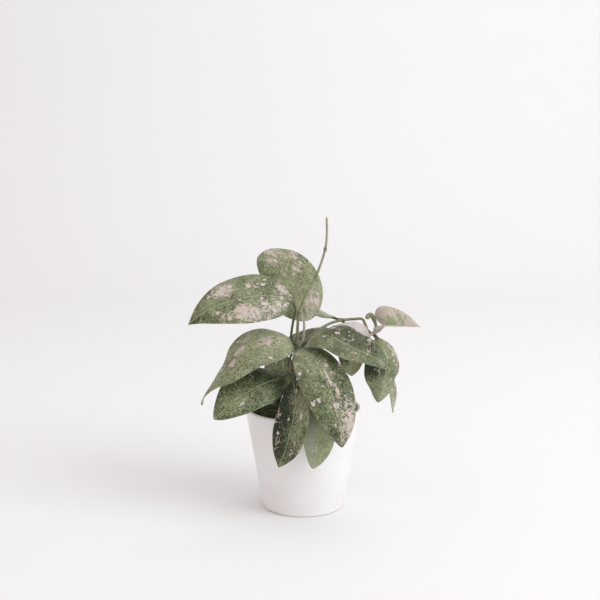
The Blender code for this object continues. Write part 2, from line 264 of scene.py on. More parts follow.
@dataclass(frozen=True)
class VineBark:
    """Smooth skin of a young semi-woody vine.

    To the eye it is matt dark olive at the crown, with fine streaks along the stem, and it pales
    to a pinkish beige towards the young end. The joints are browner.
    """

    name: str = "olive_vine_skin"
    olive: str = "#434A30"
    light: str = "#8A8D68"
    joint: str = "#5E5543"
    blush: str = "#B3A296"
    streak_mm: float = 0.5
    patch_mm: float = 9.0

    def make(self) -> Finish:
        """Build the skin.

        It reads stem_place (round the stem, and along it in mm), stem_joint, stem_youth and
        stem_blush.

        Returns:
            The material.
        """
        made, tree, shader = new_finish(self.name)
        place = add(tree, "ShaderNodeAttribute", out="Vector", attribute_name="stem_place")
        swell, youth, blush = (
            add(tree, "ShaderNodeAttribute", out="Fac", attribute_name=name)
            for name in ("stem_joint", "stem_youth", "stem_blush"))
        long_way = add(tree, "ShaderNodeVectorMath", {0: place, 1: (1.0, 1.0, 0.12)}, operation="MULTIPLY")
        streak = add(tree, "ShaderNodeTexNoise",
                     {"Vector": long_way, "Scale": 1 / self.streak_mm, "Detail": 3.0})
        patch = add(tree, "ShaderNodeTexNoise",
                    {"Vector": place, "Scale": 1 / self.patch_mm, "Detail": 3.0})
        fresh = add(tree, "ShaderNodeMapRange",
                    {"Value": youth, "From Min": 0.42, "From Max": 0.6, "To Max": 0.24})
        shade = add(tree, "ShaderNodeMath", {0: streak, 1: fresh}, operation="ADD")
        pale = add(tree, "ShaderNodeMapRange", {"Value": shade, "From Min": 0.45, "From Max": 0.75})
        skin = add(tree, "ShaderNodeMix", {0: pale, 6: srgb(self.olive), 7: srgb(self.light)},
                   2, data_type="RGBA")
        young = add(tree, "ShaderNodeMath", {0: blush, 1: 0.5, 2: patch}, operation="MULTIPLY_ADD")
        pink = add(tree, "ShaderNodeMapRange",
                   {"Value": young, "From Min": 0.72, "From Max": 0.98, "To Max": 0.7})
        flushed = add(tree, "ShaderNodeMix", {0: pink, 6: skin, 7: srgb(self.blush)}, 2, data_type="RGBA")
        brown = add(tree, "ShaderNodeMath", {0: swell, 1: 0.7}, operation="MULTIPLY")
        colour = add(tree, "ShaderNodeMix", {0: brown, 6: flushed, 7: srgb(self.joint)},
                     2, data_type="RGBA")
        bump = add(tree, "ShaderNodeBump", {"Strength": 0.5, "Distance": 0.12 * MM, "Height": streak})
        feed(tree, shader, {"Base Color": colour, "Roughness": 0.55, "Normal": bump})
        return made


@dataclass(frozen=True)
class WaxyLeaf:
    """Waxy upper skin of a grown leaf, splashed where it has no green.

    To the eye it is an olive green with a satin bloom, freckled all over, with patches of painted
    bluish sheen, and a near black painted shade where it lies in shadow. Ragged silver-pink
    blotches with green islands lie over it, and single spots drawn out along the blade. A pale
    midrib and a thin pale margin finish it.
    """

    name: str = "waxy_splashed_leaf"
    # Painted shade: the near black green of leaves and parts of leaves that lie in shadow.
    shade: str = "#1D2413"
    deep: str = "#485233"
    green: str = "#747C5B"
    light: str = "#A0A683"
    # Painted sheen: a blue-grey that stands for pale sky reflected in the wax.
    painted_sheen_blue: str = "#94A091"
    splash: str = "#AEA390"
    silver: str = "#C8BAB4"
    rib: str = "#A2A689"
    margin: str = "#A09D84"
    stalk: str = "#555B3D"
    stalk_pink: str = "#B8A79B"
    drift_mm: float = 20.0
    mottle_mm: float = 3.2
    blotch_mm: float = 8.5
    fleck_mm: float = 2.0
    speckle_mm: float = 0.8
    spot_mm: float = 7.0
    rough: float = 0.42

    def make(self) -> Finish:
        """Build the skin, which reads leaf_place, leaf_marks and leaf_tint_and_painted_light.

        Returns:
            The material.
        """
        made, tree, shader = new_finish(self.name)
        place, marks, tint = (
            add(tree, "ShaderNodeAttribute", out="Vector", attribute_name=name)
            for name in ("leaf_place", "leaf_marks", "leaf_tint_and_painted_light"))
        blotchy = add(tree, "ShaderNodeSeparateXYZ", {"Vector": marks}, "X")
        drift, mottle, speckle = (
            add(tree, "ShaderNodeTexNoise",
                {"Vector": place, "Scale": 1 / size, "Detail": detail, "Roughness": coarse})
            for size, detail, coarse in ((self.drift_mm, 2.0, 0.5), (self.mottle_mm, 4.0, 0.65),
                                         (self.speckle_mm, 2.0, 0.5)))
        ground = self._green(tree, drift, mottle, speckle, tint)
        mask, bare = self._splash(tree, place, blotchy, mottle, speckle)
        splashed = add(tree, "ShaderNodeMix", {0: mask, 6: ground, 7: bare}, 2, data_type="RGBA")
        lined = self._lines(tree, splashed, place, marks, tint)
        rough = add(tree, "ShaderNodeMapRange", {
            "Value": mottle, "From Min": 0.3, "From Max": 0.7,
            "To Min": self.rough - 0.06, "To Max": self.rough + 0.08})
        relief = add(tree, "ShaderNodeMath", {0: mask, 1: 0.35, 2: mottle}, operation="MULTIPLY_ADD")
        grain = add(tree, "ShaderNodeMath", {0: speckle, 1: 0.3, 2: relief}, operation="MULTIPLY_ADD")
        bump = add(tree, "ShaderNodeBump", {"Strength": 0.45, "Distance": 0.18 * MM, "Height": grain})
        feed(tree, shader, {"Base Color": lined, "Roughness": rough, "Normal": bump,
                            "IOR": 1.45, "Specular IOR Level": 0.36, "Coat Weight": 0.05,
                            "Coat Roughness": 0.3})
        return made

    def _green(self, tree: Tree, drift: Socket, mottle: Socket, speckle: Socket,
               tint: Socket) -> Socket:
        """Mix the green ground from a near black painted shade to a light olive.

        Args:
            tree: The material's node tree.
            drift: Broad noise.
            mottle: Fine noise.
            speckle: The finest noise, for the freckles.
            tint: The place's lightness in X, much of it painted light and shade, and its painted bluish
                sheen in Y.

        Returns:
            The ground's colour.
        """
        tone_and_painted_light, sheen = (add(tree, "ShaderNodeSeparateXYZ", {"Vector": tint}, axis) for axis in "XY")
        mixed = add(tree, "ShaderNodeMath", {0: drift, 1: 0.7, 2: mottle}, operation="MULTIPLY_ADD")
        broad = add(tree, "ShaderNodeMapRange", {"Value": mixed, "From Min": 0.58, "From Max": 1.12})
        fine = add(tree, "ShaderNodeMapRange", {
            "Value": speckle, "From Min": 0.38, "From Max": 0.64, "To Min": -0.4, "To Max": 0.38})
        share = add(tree, "ShaderNodeMath", {0: broad, 1: fine}, operation="ADD")
        level = add(tree, "ShaderNodeMath", {0: share, 1: tone_and_painted_light}, operation="ADD")
        # Levels under 0, set by the tone and the greens areas, run down into the near black painted shade.
        colour = srgb(self.shade)
        for start, code in ((-0.5, self.deep), (0.0, self.green), (0.5, self.light)):
            part = add(tree, "ShaderNodeMapRange",
                       {"Value": level, "From Min": start, "From Max": start + 0.5})
            colour = add(tree, "ShaderNodeMix", {0: part, 6: colour, 7: srgb(code)}, 2, data_type="RGBA")
        # Painted sheen: blue-grey patches over the green, from the sheens areas and the drift.
        sheen_drift = add(tree, "ShaderNodeMath", {0: drift, 1: 0.9, 2: sheen}, operation="MULTIPLY_ADD")
        sheen_level = add(tree, "ShaderNodeMath", {0: speckle, 1: 0.5, 2: sheen_drift}, operation="MULTIPLY_ADD")
        dust_and_painted_sheen = add(tree, "ShaderNodeMapRange",
                   {"Value": sheen_level, "From Min": 0.86, "From Max": 1.02, "To Max": 0.6})
        return add(tree, "ShaderNodeMix", {0: dust_and_painted_sheen, 6: colour, 7: srgb(self.painted_sheen_blue)}, 2, data_type="RGBA")

    def _splash(self, tree: Tree, place: Socket, blotchy: Socket, mottle: Socket,
                speckle: Socket) -> tuple[Socket, Socket]:
        """Draw ragged blotches and flecks, and single spots drawn out along the blade.

        Args:
            tree: The material's node tree.
            place: The place on the blade in mm.
            blotchy: How freely the blade is splashed there, from 0 to 1.
            mottle: Fine noise, which frays the spots.
            speckle: The finest noise, which breaks up the blotches.

        Returns:
            The splash's mask and its colour.
        """
        drawn = add(tree, "ShaderNodeVectorMath", {0: place, 1: (1.0, 0.62, 1.0)}, operation="MULTIPLY")
        blotch, fleck = (
            add(tree, "ShaderNodeTexNoise",
                {"Vector": drawn, "Scale": 1 / size, "Detail": detail, "Roughness": coarse})
            for size, detail, coarse in ((self.blotch_mm, 6.0, 0.7), (self.fleck_mm, 3.0, 0.6)))
        grainy = add(tree, "ShaderNodeMath", {0: speckle, 1: 0.5, 2: blotch}, operation="MULTIPLY_ADD")
        both = add(tree, "ShaderNodeMath", {0: fleck, 1: 0.75, 2: grainy}, operation="MULTIPLY_ADD")
        level = add(tree, "ShaderNodeMath", {0: blotchy, 1: 0.42, 2: both}, operation="MULTIPLY_ADD")
        ragged = add(tree, "ShaderNodeMapRange",
                     {"Value": level, "From Min": 1.3, "From Max": 1.35}, interpolation_type="SMOOTHSTEP")
        away = add(tree, "ShaderNodeTexVoronoi", {"Vector": drawn, "Scale": 1 / self.spot_mm}, "Distance")
        luck = add(tree, "ShaderNodeSeparateXYZ", {"Vector": away.node.outputs["Color"]}, "X")
        likely = add(tree, "ShaderNodeMath", {0: luck, 1: blotchy}, operation="ADD")
        reach = add(tree, "ShaderNodeMapRange",
                    {"Value": likely, "From Min": 0.4, "From Max": 1.1, "To Min": 0.0, "To Max": 0.34})
        frayed = add(tree, "ShaderNodeMath", {0: mottle, 1: 0.7, 2: reach}, operation="MULTIPLY_ADD")
        inside = add(tree, "ShaderNodeMath", {0: frayed, 1: away}, operation="SUBTRACT")
        spot = add(tree, "ShaderNodeMapRange",
                   {"Value": inside, "From Min": 0.38, "From Max": 0.44}, interpolation_type="SMOOTHSTEP")
        mask = add(tree, "ShaderNodeMath", {0: ragged, 1: spot}, operation="MAXIMUM")
        rich = add(tree, "ShaderNodeMapRange", {"Value": level, "From Min": 1.33, "From Max": 1.53})
        silvery = add(tree, "ShaderNodeMath", {0: rich, 1: spot}, operation="MAXIMUM")
        bare = add(tree, "ShaderNodeMix", {0: silvery, 6: srgb(self.splash), 7: srgb(self.silver)},
                   2, data_type="RGBA")
        return mask, bare

    def _lines(self, tree: Tree, ground: Socket, place: Socket, marks: Socket,
               tint: Socket) -> Socket:
        """Lay the pale midrib, the pale margin and the stalk's own colour over the blade.

        Args:
            tree: The material's node tree.
            ground: The colour so far.
            place: The place on the blade in mm, with the distance from the midrib in X.
            marks: The distance from the margin in Y, and 1 on the stalk in Z.
            tint: How pink the stalk is in Z.

        Returns:
            The finished colour.
        """
        across, edge, stalk, pink = (
            add(tree, "ShaderNodeSeparateXYZ", {"Vector": source}, axis)
            for source, axis in ((place, "X"), (marks, "Y"), (marks, "Z"), (tint, "Z")))
        off = add(tree, "ShaderNodeMath", {0: across}, operation="ABSOLUTE")
        lined = ground
        for away, outer, inner, most, code in (
                (off, 0.6, 0.15, 0.75, self.rib), (edge, 0.5, 0.1, 0.5, self.margin)):
            line = add(tree, "ShaderNodeMapRange",
                       {"Value": away, "From Min": outer, "From Max": inner, "To Max": most},
                       interpolation_type="SMOOTHSTEP")
            lined = add(tree, "ShaderNodeMix", {0: line, 6: lined, 7: srgb(code)}, 2, data_type="RGBA")
        stem = add(tree, "ShaderNodeMix", {0: pink, 6: srgb(self.stalk), 7: srgb(self.stalk_pink)},
                   2, data_type="RGBA")
        return add(tree, "ShaderNodeMix", {0: stalk, 6: lined, 7: stem}, 2, data_type="RGBA")


@dataclass(frozen=True)
class LeafUnderside:
    """Matt lower skin of a leaf.

    To the eye it is a paler, greyer green than the top, without its wax, and the raised midrib
    is lighter still.
    """

    name: str = "matt_leaf_underside"
    green: str = "#7E8866"
    pale: str = "#A0A685"
    rib: str = "#B7B596"
    mottle_mm: float = 4.0

    def make(self) -> Finish:
        """Build the underside, which reads leaf_place.

        Returns:
            The material.
        """
        made, tree, shader = new_finish(self.name)
        place = add(tree, "ShaderNodeAttribute", out="Vector", attribute_name="leaf_place")
        across = add(tree, "ShaderNodeSeparateXYZ", {"Vector": place}, "X")
        mottle = add(tree, "ShaderNodeTexNoise",
                     {"Vector": place, "Scale": 1 / self.mottle_mm, "Detail": 4.0})
        share = add(tree, "ShaderNodeMapRange", {"Value": mottle, "From Min": 0.35, "From Max": 0.65})
        ground = add(tree, "ShaderNodeMix", {0: share, 6: srgb(self.green), 7: srgb(self.pale)},
                     2, data_type="RGBA")
        off = add(tree, "ShaderNodeMath", {0: across}, operation="ABSOLUTE")
        rib = add(tree, "ShaderNodeMapRange",
                  {"Value": off, "From Min": 1.4, "From Max": 0.5, "To Max": 0.8},
                  interpolation_type="SMOOTHSTEP")
        colour = add(tree, "ShaderNodeMix", {0: rib, 6: ground, 7: srgb(self.rib)}, 2, data_type="RGBA")
        bump = add(tree, "ShaderNodeBump", {"Strength": 0.4, "Distance": 0.15 * MM, "Height": mottle})
        feed(tree, shader, {"Base Color": colour, "Roughness": 0.62, "Normal": bump})
        return made


@dataclass(frozen=True)
class YoungLeafSkin:
    """Soft skin of a leaf that has just grown.

    To the eye it is a blushed pale green, pinker than the grown leaves, with grey-green patches,
    a pale stalk and a soft satin shine.
    """

    name: str = "soft_young_leaf"
    blush: str = "#BAB0A0"
    pink: str = "#CDC1B9"
    green: str = "#979D79"
    stalk: str = "#C2B3AE"
    patch_mm: float = 6.0
    mottle_mm: float = 1.8
    green_share: float = 0.5

    def make(self) -> Finish:
        """Build the young skin, which reads leaf_place and leaf_marks.

        Returns:
            The material.
        """
        made, tree, shader = new_finish(self.name)
        place, marks = (
            add(tree, "ShaderNodeAttribute", out="Vector", attribute_name=name)
            for name in ("leaf_place", "leaf_marks"))
        where, edge, stalk = (add(tree, "ShaderNodeSeparateXYZ", {"Vector": marks}, axis) for axis in "XYZ")
        patch = add(tree, "ShaderNodeTexNoise", {
            "Vector": place, "Scale": 1 / self.patch_mm, "Detail": 5.0, "Roughness": 0.65})
        mottle = add(tree, "ShaderNodeTexNoise",
                     {"Vector": place, "Scale": 1 / self.mottle_mm, "Detail": 3.0})
        tint = add(tree, "ShaderNodeMapRange", {"Value": mottle, "From Min": 0.35, "From Max": 0.65})
        flesh = add(tree, "ShaderNodeMix", {0: tint, 6: srgb(self.blush), 7: srgb(self.pink)},
                    2, data_type="RGBA")
        start = 0.74 - 0.3 * self.green_share
        level = add(tree, "ShaderNodeMath", {0: where, 1: 0.3, 2: patch}, operation="MULTIPLY_ADD")
        greens_and_painted_shade = add(tree, "ShaderNodeMapRange",
                     {"Value": level, "From Min": start, "From Max": start + 0.08, "To Max": 0.9},
                     interpolation_type="SMOOTHSTEP")
        patched = add(tree, "ShaderNodeMix", {0: greens_and_painted_shade, 6: flesh, 7: srgb(self.green)},
                      2, data_type="RGBA")
        hem = add(tree, "ShaderNodeMapRange",
                  {"Value": edge, "From Min": 0.8, "From Max": 0.1, "To Max": 0.6},
                  interpolation_type="SMOOTHSTEP")
        hemmed = add(tree, "ShaderNodeMix", {0: hem, 6: patched, 7: srgb(self.pink)}, 2, data_type="RGBA")
        colour = add(tree, "ShaderNodeMix", {0: stalk, 6: hemmed, 7: srgb(self.stalk)}, 2, data_type="RGBA")
        bump = add(tree, "ShaderNodeBump", {"Strength": 0.4, "Distance": 0.12 * MM, "Height": mottle})
        feed(tree, shader, {"Base Color": colour, "Roughness": 0.42, "Normal": bump, "IOR": 1.45,
                            "Coat Weight": 0.1, "Coat Roughness": 0.35})
        return made


@dataclass(frozen=True)
class PaperSweep:
    """Matt paper of the studio's floor and wall.

    To the eye it is a clean, faintly cool white without a visible join.
    """

    name: str = "matt_backdrop_paper"
    white: str = "#F4F4F5"
    fibre_mm: float = 3.0

    def make(self) -> Finish:
        """Build the paper.

        Returns:
            The material.
        """
        made, tree, shader = new_finish(self.name)
        place = add(tree, "ShaderNodeTexCoord", out="Object")
        fibre = add(tree, "ShaderNodeTexNoise", {"Vector": place, "Scale": 1 / (self.fibre_mm * MM)})
        bump = add(tree, "ShaderNodeBump", {"Strength": 0.03, "Distance": 0.1 * MM, "Height": fibre})
        feed(tree, shader, {"Base Color": srgb(self.white), "Roughness": 0.9, "Normal": bump})
        return made


class Route:
    """A smooth curve through a few points, read by its length in mm."""

    SPAN_STEPS = 24
    REACH = 0.4

    def __init__(self, points: Sequence[Point]) -> None:
        """Keep a centripetal curve through the points, with the running length at each step.

        Args:
            points: The points in mm.
        """
        self.points = self._smooth(np.array(points, float))
        steps = np.linalg.norm(np.diff(self.points, axis=0), axis=1)
        self.marks = np.concatenate(([0.0], np.cumsum(steps)))
        self.length = float(self.marks[-1])

    def _smooth(self, points: np.ndarray) -> np.ndarray:
        """Cut the curve into many short steps, with each span timed by the root of its chord.

        Args:
            points: The points that it runs through.

        Returns:
            The steps' points.
        """
        ends = np.vstack((2 * points[0] - points[1], points, 2 * points[-1] - points[-2]))
        found = [points[:1]]
        share = np.arange(1, self.SPAN_STEPS + 1)[:, None] / self.SPAN_STEPS
        for a, b, c, d in zip(ends, ends[1:], ends[2:], ends[3:]):
            t1 = math.sqrt(np.linalg.norm(b - a))
            t2 = t1 + math.sqrt(np.linalg.norm(c - b))
            t3 = t2 + math.sqrt(np.linalg.norm(d - c))
            t = t1 + (t2 - t1) * share
            ab = a * ((t1 - t) / t1) + b * (t / t1)
            bc = b * ((t2 - t) / (t2 - t1)) + c * ((t - t1) / (t2 - t1))
            cd = c * ((t3 - t) / (t3 - t2)) + d * ((t - t2) / (t3 - t2))
            abc = ab * ((t2 - t) / t2) + bc * (t / t2)
            bcd = bc * ((t3 - t) / (t3 - t1)) + cd * ((t - t1) / (t3 - t1))
            found.append(abc * ((t2 - t) / (t2 - t1)) + bcd * ((t - t1) / (t2 - t1)))
        return np.vstack(found)

    def at(self, distance: np.ndarray) -> np.ndarray:
        """Find the points at these lengths, run straight on before the start.

        Args:
            distance: The lengths in mm.

        Returns:
            One point for each length.
        """
        found = np.stack([np.interp(distance, self.marks, self.points[:, k]) for k in range(3)], -1)
        before = np.minimum(distance, 0.0)[..., None]
        return found + before * self._first_step()

    def direction(self, distance: np.ndarray) -> np.ndarray:
        """Return the unit tangents at these lengths."""
        step = self.at(distance + self.REACH) - self.at(distance - self.REACH)
        return step / np.linalg.norm(step, axis=-1, keepdims=True)

    def length_to(self, index: int) -> float:
        """Return the length to one of the points that the curve was made from."""
        return float(self.marks[index * self.SPAN_STEPS])

    def _first_step(self) -> np.ndarray:
        """Return the unit direction in which the curve starts."""
        step = self.points[1] - self.points[0]
        return step / np.linalg.norm(step)


def unit(vectors: np.ndarray) -> np.ndarray:
    """Return the vectors at a length of 1."""
    return vectors / np.linalg.norm(vectors, axis=-1, keepdims=True)


def dome(place: np.ndarray, least: float = 0.0) -> np.ndarray:
    """Find the height of a round end.

    Args:
        place: The places, from its middle at 0 to its edge at 1 or -1.
        least: The lowest square of the height that is given.

    Returns:
        The height at each place, 1 in the middle.
    """
    return np.sqrt(np.clip(1 - place ** 2, least, 1.0))


def eased(count: int) -> np.ndarray:
    """Return numbers from 0 to 1 that lie closer together at both ends."""
    even = np.linspace(0.0, 1.0, count)
    return 0.5 * even + 0.25 * (1 - np.cos(np.pi * even))


def mesh_object(name: str, verts: np.ndarray, faces: Sequence[Sequence[int]],
                edges: Sequence[Sequence[int]] = ()) -> Piece:
    """Make a linked object from points in mm.

    Args:
        name: The object's name.
        verts: The points in mm, one a row.
        faces: The faces, by point numbers.
        edges: Loose edges, where there are no faces.

    Returns:
        The object.
    """
    mesh = bpy.data.meshes.new(name)
    mesh.from_pydata((np.asarray(verts) * MM).tolist(), list(edges), list(faces))
    mesh.update()
    made = bpy.data.objects.new(name, mesh)
    bpy.context.scene.collection.objects.link(made)
    return made


def keep_values(mesh: bpy.types.Mesh, name: str, values: np.ndarray) -> None:
    """Store a number or a vector for each point of a mesh.

    Args:
        mesh: The mesh.
        name: The attribute's name.
        values: One row a point, of one or three numbers.
    """
    vector = values.ndim == 2
    layer = mesh.attributes.new(name, "FLOAT_VECTOR" if vector else "FLOAT", "POINT")
    layer.data.foreach_set("vector" if vector else "value", values.astype(np.float32).ravel())


def new_tree(name: str, sockets: dict[str, tuple[str, Value]]) -> Tree:
    """Start a geometry tree with named inputs, after its input geometry.

    Args:
        name: The tree's name.
        sockets: Each input's socket type and first value, by name.

    Returns:
        The tree, which also has its geometry output.
    """
    tree = bpy.data.node_groups.new(name, "GeometryNodeTree")
    tree.interface.new_socket("Geometry", in_out="INPUT", socket_type="NodeSocketGeometry")
    tree.interface.new_socket("Geometry", in_out="OUTPUT", socket_type="NodeSocketGeometry")
    for label, (kind, value) in sockets.items():
        made = tree.interface.new_socket(label, in_out="INPUT", socket_type=kind)
        if value is not None:
            made.default_value = value
    return tree


def close_tree(tree: Tree, shape: Socket, finish: Socket) -> None:
    """End a tree: its instances made real, shaded smooth and given their material.

    Args:
        tree: The tree.
        shape: The geometry so far.
        finish: The material input.
    """
    smooth = add(tree, "GeometryNodeSetShadeSmooth", {"Geometry": shape})
    real = add(tree, "GeometryNodeRealizeInstances", {"Geometry": smooth})
    dressed = add(tree, "GeometryNodeSetMaterial", {"Geometry": real, "Material": finish})
    end = tree.nodes.new("NodeGroupOutput")
    tree.links.new(dressed, end.inputs[0])


def grow(base: Piece, tree: Tree, values: dict[str, Value]) -> Piece:
    """Run a geometry tree on an object and keep the result as its plain mesh.

    Args:
        base: The object that holds the input geometry.
        tree: The geometry tree.
        values: A value for each of the tree's named inputs.

    Returns:
        The same object with its new mesh and no modifier.
    """
    live = base.modifiers.new(tree.name, "NODES")
    live.node_group = tree
    for item in tree.interface.items_tree:
        if item.in_out == "INPUT" and item.name in values:
            live[item.identifier] = values[item.name]
    base.update_tag()
    graph = bpy.context.evaluated_depsgraph_get()
    result = bpy.data.meshes.new_from_object(base.evaluated_get(graph))
    base.modifiers.remove(live)
    base.data = result
    return base


def turning_tree() -> Tree:
    """Build the tree that turns a profile round the upright axis.

    The profile's points lie in the XZ plane in order, from the axis at the bottom, out, up and
    back to the axis, so the faces point outwards. Inputs: Segments and Finish.

    Returns:
        The tree.
    """
    tree = new_tree("turned_form", {"Segments": ("NodeSocketInt", 96),
                                    "Finish": ("NodeSocketMaterial", None)})
    given = tree.nodes.new("NodeGroupInput").outputs
    count = add(tree, "GeometryNodeAttributeDomainSize", {0: given["Geometry"]}, "Point Count")
    rows = add(tree, "ShaderNodeMath", {0: given["Segments"], 1: 1.0}, operation="ADD")
    sheet = add(tree, "GeometryNodeMeshGrid",
                {"Size X": 1.0, "Size Y": 1.0, "Vertices X": count, "Vertices Y": rows})
    spot = add(tree, "GeometryNodeInputPosition")
    along, around = (add(tree, "ShaderNodeSeparateXYZ", {"Vector": spot}, axis) for axis in "XY")
    steps = add(tree, "ShaderNodeMath", {0: count, 1: 1.0}, operation="SUBTRACT")
    share = add(tree, "ShaderNodeMath", {0: along, 1: 0.5}, operation="ADD")
    number = add(tree, "ShaderNodeMath", {0: share, 1: steps}, operation="MULTIPLY")
    index = add(tree, "FunctionNodeFloatToInt", {0: number}, rounding_mode="ROUND")
    outline = add(tree, "GeometryNodeSampleIndex",
                  {"Geometry": given["Geometry"], "Value": spot, "Index": index},
                  data_type="FLOAT_VECTOR")
    radius, height = (add(tree, "ShaderNodeSeparateXYZ", {"Vector": outline}, axis) for axis in "XZ")
    turn = add(tree, "ShaderNodeMath", {0: around, 1: -2 * math.pi}, operation="MULTIPLY")
    parts = [add(tree, "ShaderNodeMath", {0: turn}, operation=name) for name in ("COSINE", "SINE")]
    x, y = (add(tree, "ShaderNodeMath", {0: radius, 1: part}, operation="MULTIPLY") for part in parts)
    turned = add(tree, "ShaderNodeCombineXYZ", {"X": x, "Y": y, "Z": height})
    shaped = add(tree, "GeometryNodeSetPosition", {"Geometry": sheet, "Position": turned})
    closed = add(tree, "GeometryNodeMergeByDistance", {"Geometry": shaped, "Distance": WELD})
    close_tree(tree, closed, given["Finish"])
    return tree


def stem_tree() -> Tree:
    """Build the tree that grows a stem along a line, with short rootlets on its skin.

    The line's points carry stem_radius in metres, stem_along in mm and stem_joint from 0 to 1.
    Inputs: Sides, Rootlet Density a square metre, Rootlet Length, Seed and Finish.

    Returns:
        The tree.
    """
    tree = new_tree("vine_stem", {
        "Sides": ("NodeSocketInt", 20), "Rootlet Density": ("NodeSocketFloat", 0.0),
        "Rootlet Length": ("NodeSocketFloat", 0.002), "Seed": ("NodeSocketInt", 1),
        "Finish": ("NodeSocketMaterial", None)})
    given = tree.nodes.new("NodeGroupInput").outputs
    line = add(tree, "GeometryNodeMeshToCurve", {0: given["Geometry"]})
    radius, along = (add(tree, "GeometryNodeInputNamedAttribute", {"Name": name}, data_type="FLOAT")
                     for name in ("stem_radius", "stem_along"))
    ring = add(tree, "GeometryNodeCurvePrimitiveCircle", {"Resolution": given["Sides"], "Radius": 1.0})
    flat = add(tree, "GeometryNodeInputPosition")
    marked = add(tree, "GeometryNodeStoreNamedAttribute",
                 {"Geometry": ring, "Name": "round_place", "Value": flat},
                 data_type="FLOAT_VECTOR", domain="POINT")
    tube = add(tree, "GeometryNodeCurveToMesh",
               {"Curve": line, "Profile Curve": marked, "Scale": radius, "Fill Caps": True})
    around = add(tree, "GeometryNodeInputNamedAttribute", {"Name": "round_place"}, data_type="FLOAT_VECTOR")
    x, y = (add(tree, "ShaderNodeSeparateXYZ", {"Vector": around}, axis) for axis in "XY")
    place = add(tree, "ShaderNodeCombineXYZ", {"X": x, "Y": y, "Z": along})
    mapped = add(tree, "GeometryNodeStoreNamedAttribute",
                 {"Geometry": tube, "Name": "stem_place", "Value": place},
                 data_type="FLOAT_VECTOR", domain="POINT")
    scatter = tree.nodes.new("GeometryNodeDistributePointsOnFaces")
    tree.links.new(mapped, scatter.inputs["Mesh"])
    tree.links.new(given["Rootlet Density"], scatter.inputs["Density"])
    tree.links.new(given["Seed"], scatter.inputs["Seed"])
    cone = add(tree, "GeometryNodeMeshCone", {
        "Vertices": 6, "Side Segments": 3, "Radius Top": 0.08 * MM, "Radius Bottom": 0.32 * MM,
        "Depth": given["Rootlet Length"]})
    length = add(tree, "FunctionNodeRandomValue", {2: 0.45, 3: 1.3, "Seed": given["Seed"]}, 1,
                 data_type="FLOAT")
    rootlets = add(tree, "GeometryNodeInstanceOnPoints", {
        "Points": scatter.outputs["Points"], "Instance": cone,
        "Rotation": scatter.outputs["Rotation"], "Scale": length})
    both = tree.nodes.new("GeometryNodeJoinGeometry")
    tree.links.new(rootlets, both.inputs[0])
    tree.links.new(mapped, both.inputs[0])
    close_tree(tree, both.outputs[0], given["Finish"])
    return tree


def crumb_tree() -> Tree:
    """Build the tree that covers the mix's top with crumbs and bark chips.

    Inputs: Density a square metre, Chip Size, Thickness, Clear Radius (chips lie inside it),
    Seed and Finish.

    Returns:
        The tree.
    """
    tree = new_tree("crumb_cover", {
        "Density": ("NodeSocketFloat", 100000.0), "Chip Size": ("NodeSocketFloat", 0.002),
        "Thickness": ("NodeSocketFloat", 0.5), "Clear Radius": ("NodeSocketFloat", 0.05),
        "Seed": ("NodeSocketInt", 1), "Finish": ("NodeSocketMaterial", None)})
    given = tree.nodes.new("NodeGroupInput").outputs
    normal = add(tree, "GeometryNodeInputNormal")
    up = add(tree, "ShaderNodeSeparateXYZ", {"Vector": normal}, "Z")
    spot = add(tree, "GeometryNodeInputPosition")
    level = add(tree, "ShaderNodeVectorMath", {0: spot, 1: (1.0, 1.0, 0.0)}, operation="MULTIPLY")
    away = add(tree, "ShaderNodeVectorMath", {0: level}, "Value", operation="LENGTH")
    inside = add(tree, "ShaderNodeMath", {0: away, 1: given["Clear Radius"]}, operation="LESS_THAN")
    upward = add(tree, "ShaderNodeMath", {0: up, 1: 0.5}, operation="GREATER_THAN")
    chosen = add(tree, "ShaderNodeMath", {0: inside, 1: upward}, operation="MULTIPLY")
    scatter = add(tree, "GeometryNodeDistributePointsOnFaces", {
        "Mesh": given["Geometry"], "Selection": chosen, "Density": given["Density"],
        "Seed": given["Seed"]}, "Points")
    ball = add(tree, "GeometryNodeMeshUVSphere", {"Radius": 1.0, "Segments": 6, "Rings": 4})
    knobs = add(tree, "ShaderNodeTexNoise", {"Vector": spot, "Scale": KNOB_SCALE, "Detail": 1.0}, "Color")
    centred = add(tree, "ShaderNodeVectorMath", {0: knobs, 1: (0.5, 0.5, 0.5)}, operation="SUBTRACT")
    pushed = add(tree, "ShaderNodeVectorMath", {0: centred, 1: (KNOB_PUSH,) * 3}, operation="MULTIPLY")
    lump = add(tree, "GeometryNodeSetPosition", {"Geometry": ball, "Offset": pushed})
    turn = add(tree, "FunctionNodeRandomValue", {
        0: (-CRUMB_TILT, -CRUMB_TILT, 0.0), 1: (CRUMB_TILT, CRUMB_TILT, 2 * math.pi),
        "Seed": given["Seed"]}, 0, data_type="FLOAT_VECTOR")
    long_side, short_side, tint = (
        add(tree, "FunctionNodeRandomValue", {2: least, 3: most, "Seed": seed}, 1, data_type="FLOAT")
        for least, most, seed in ((0.5, 1.5, 11), (0.3, 0.9, 12), (0.0, 1.0, 13)))
    shape = add(tree, "ShaderNodeCombineXYZ", {"X": long_side, "Y": short_side, "Z": given["Thickness"]})
    size = add(tree, "ShaderNodeVectorMath", {0: shape, "Scale": given["Chip Size"]}, operation="SCALE")
    chips = add(tree, "GeometryNodeInstanceOnPoints",
                {"Points": scatter, "Instance": lump, "Rotation": turn, "Scale": size})
    toned = add(tree, "GeometryNodeStoreNamedAttribute",
                {"Geometry": chips, "Name": "chip_tone", "Value": tint},
                data_type="FLOAT", domain="INSTANCE")
    both = tree.nodes.new("GeometryNodeJoinGeometry")
    tree.links.new(toned, both.inputs[0])
    tree.links.new(given["Geometry"], both.inputs[0])
    close_tree(tree, both.outputs[0], given["Finish"])
    return tree


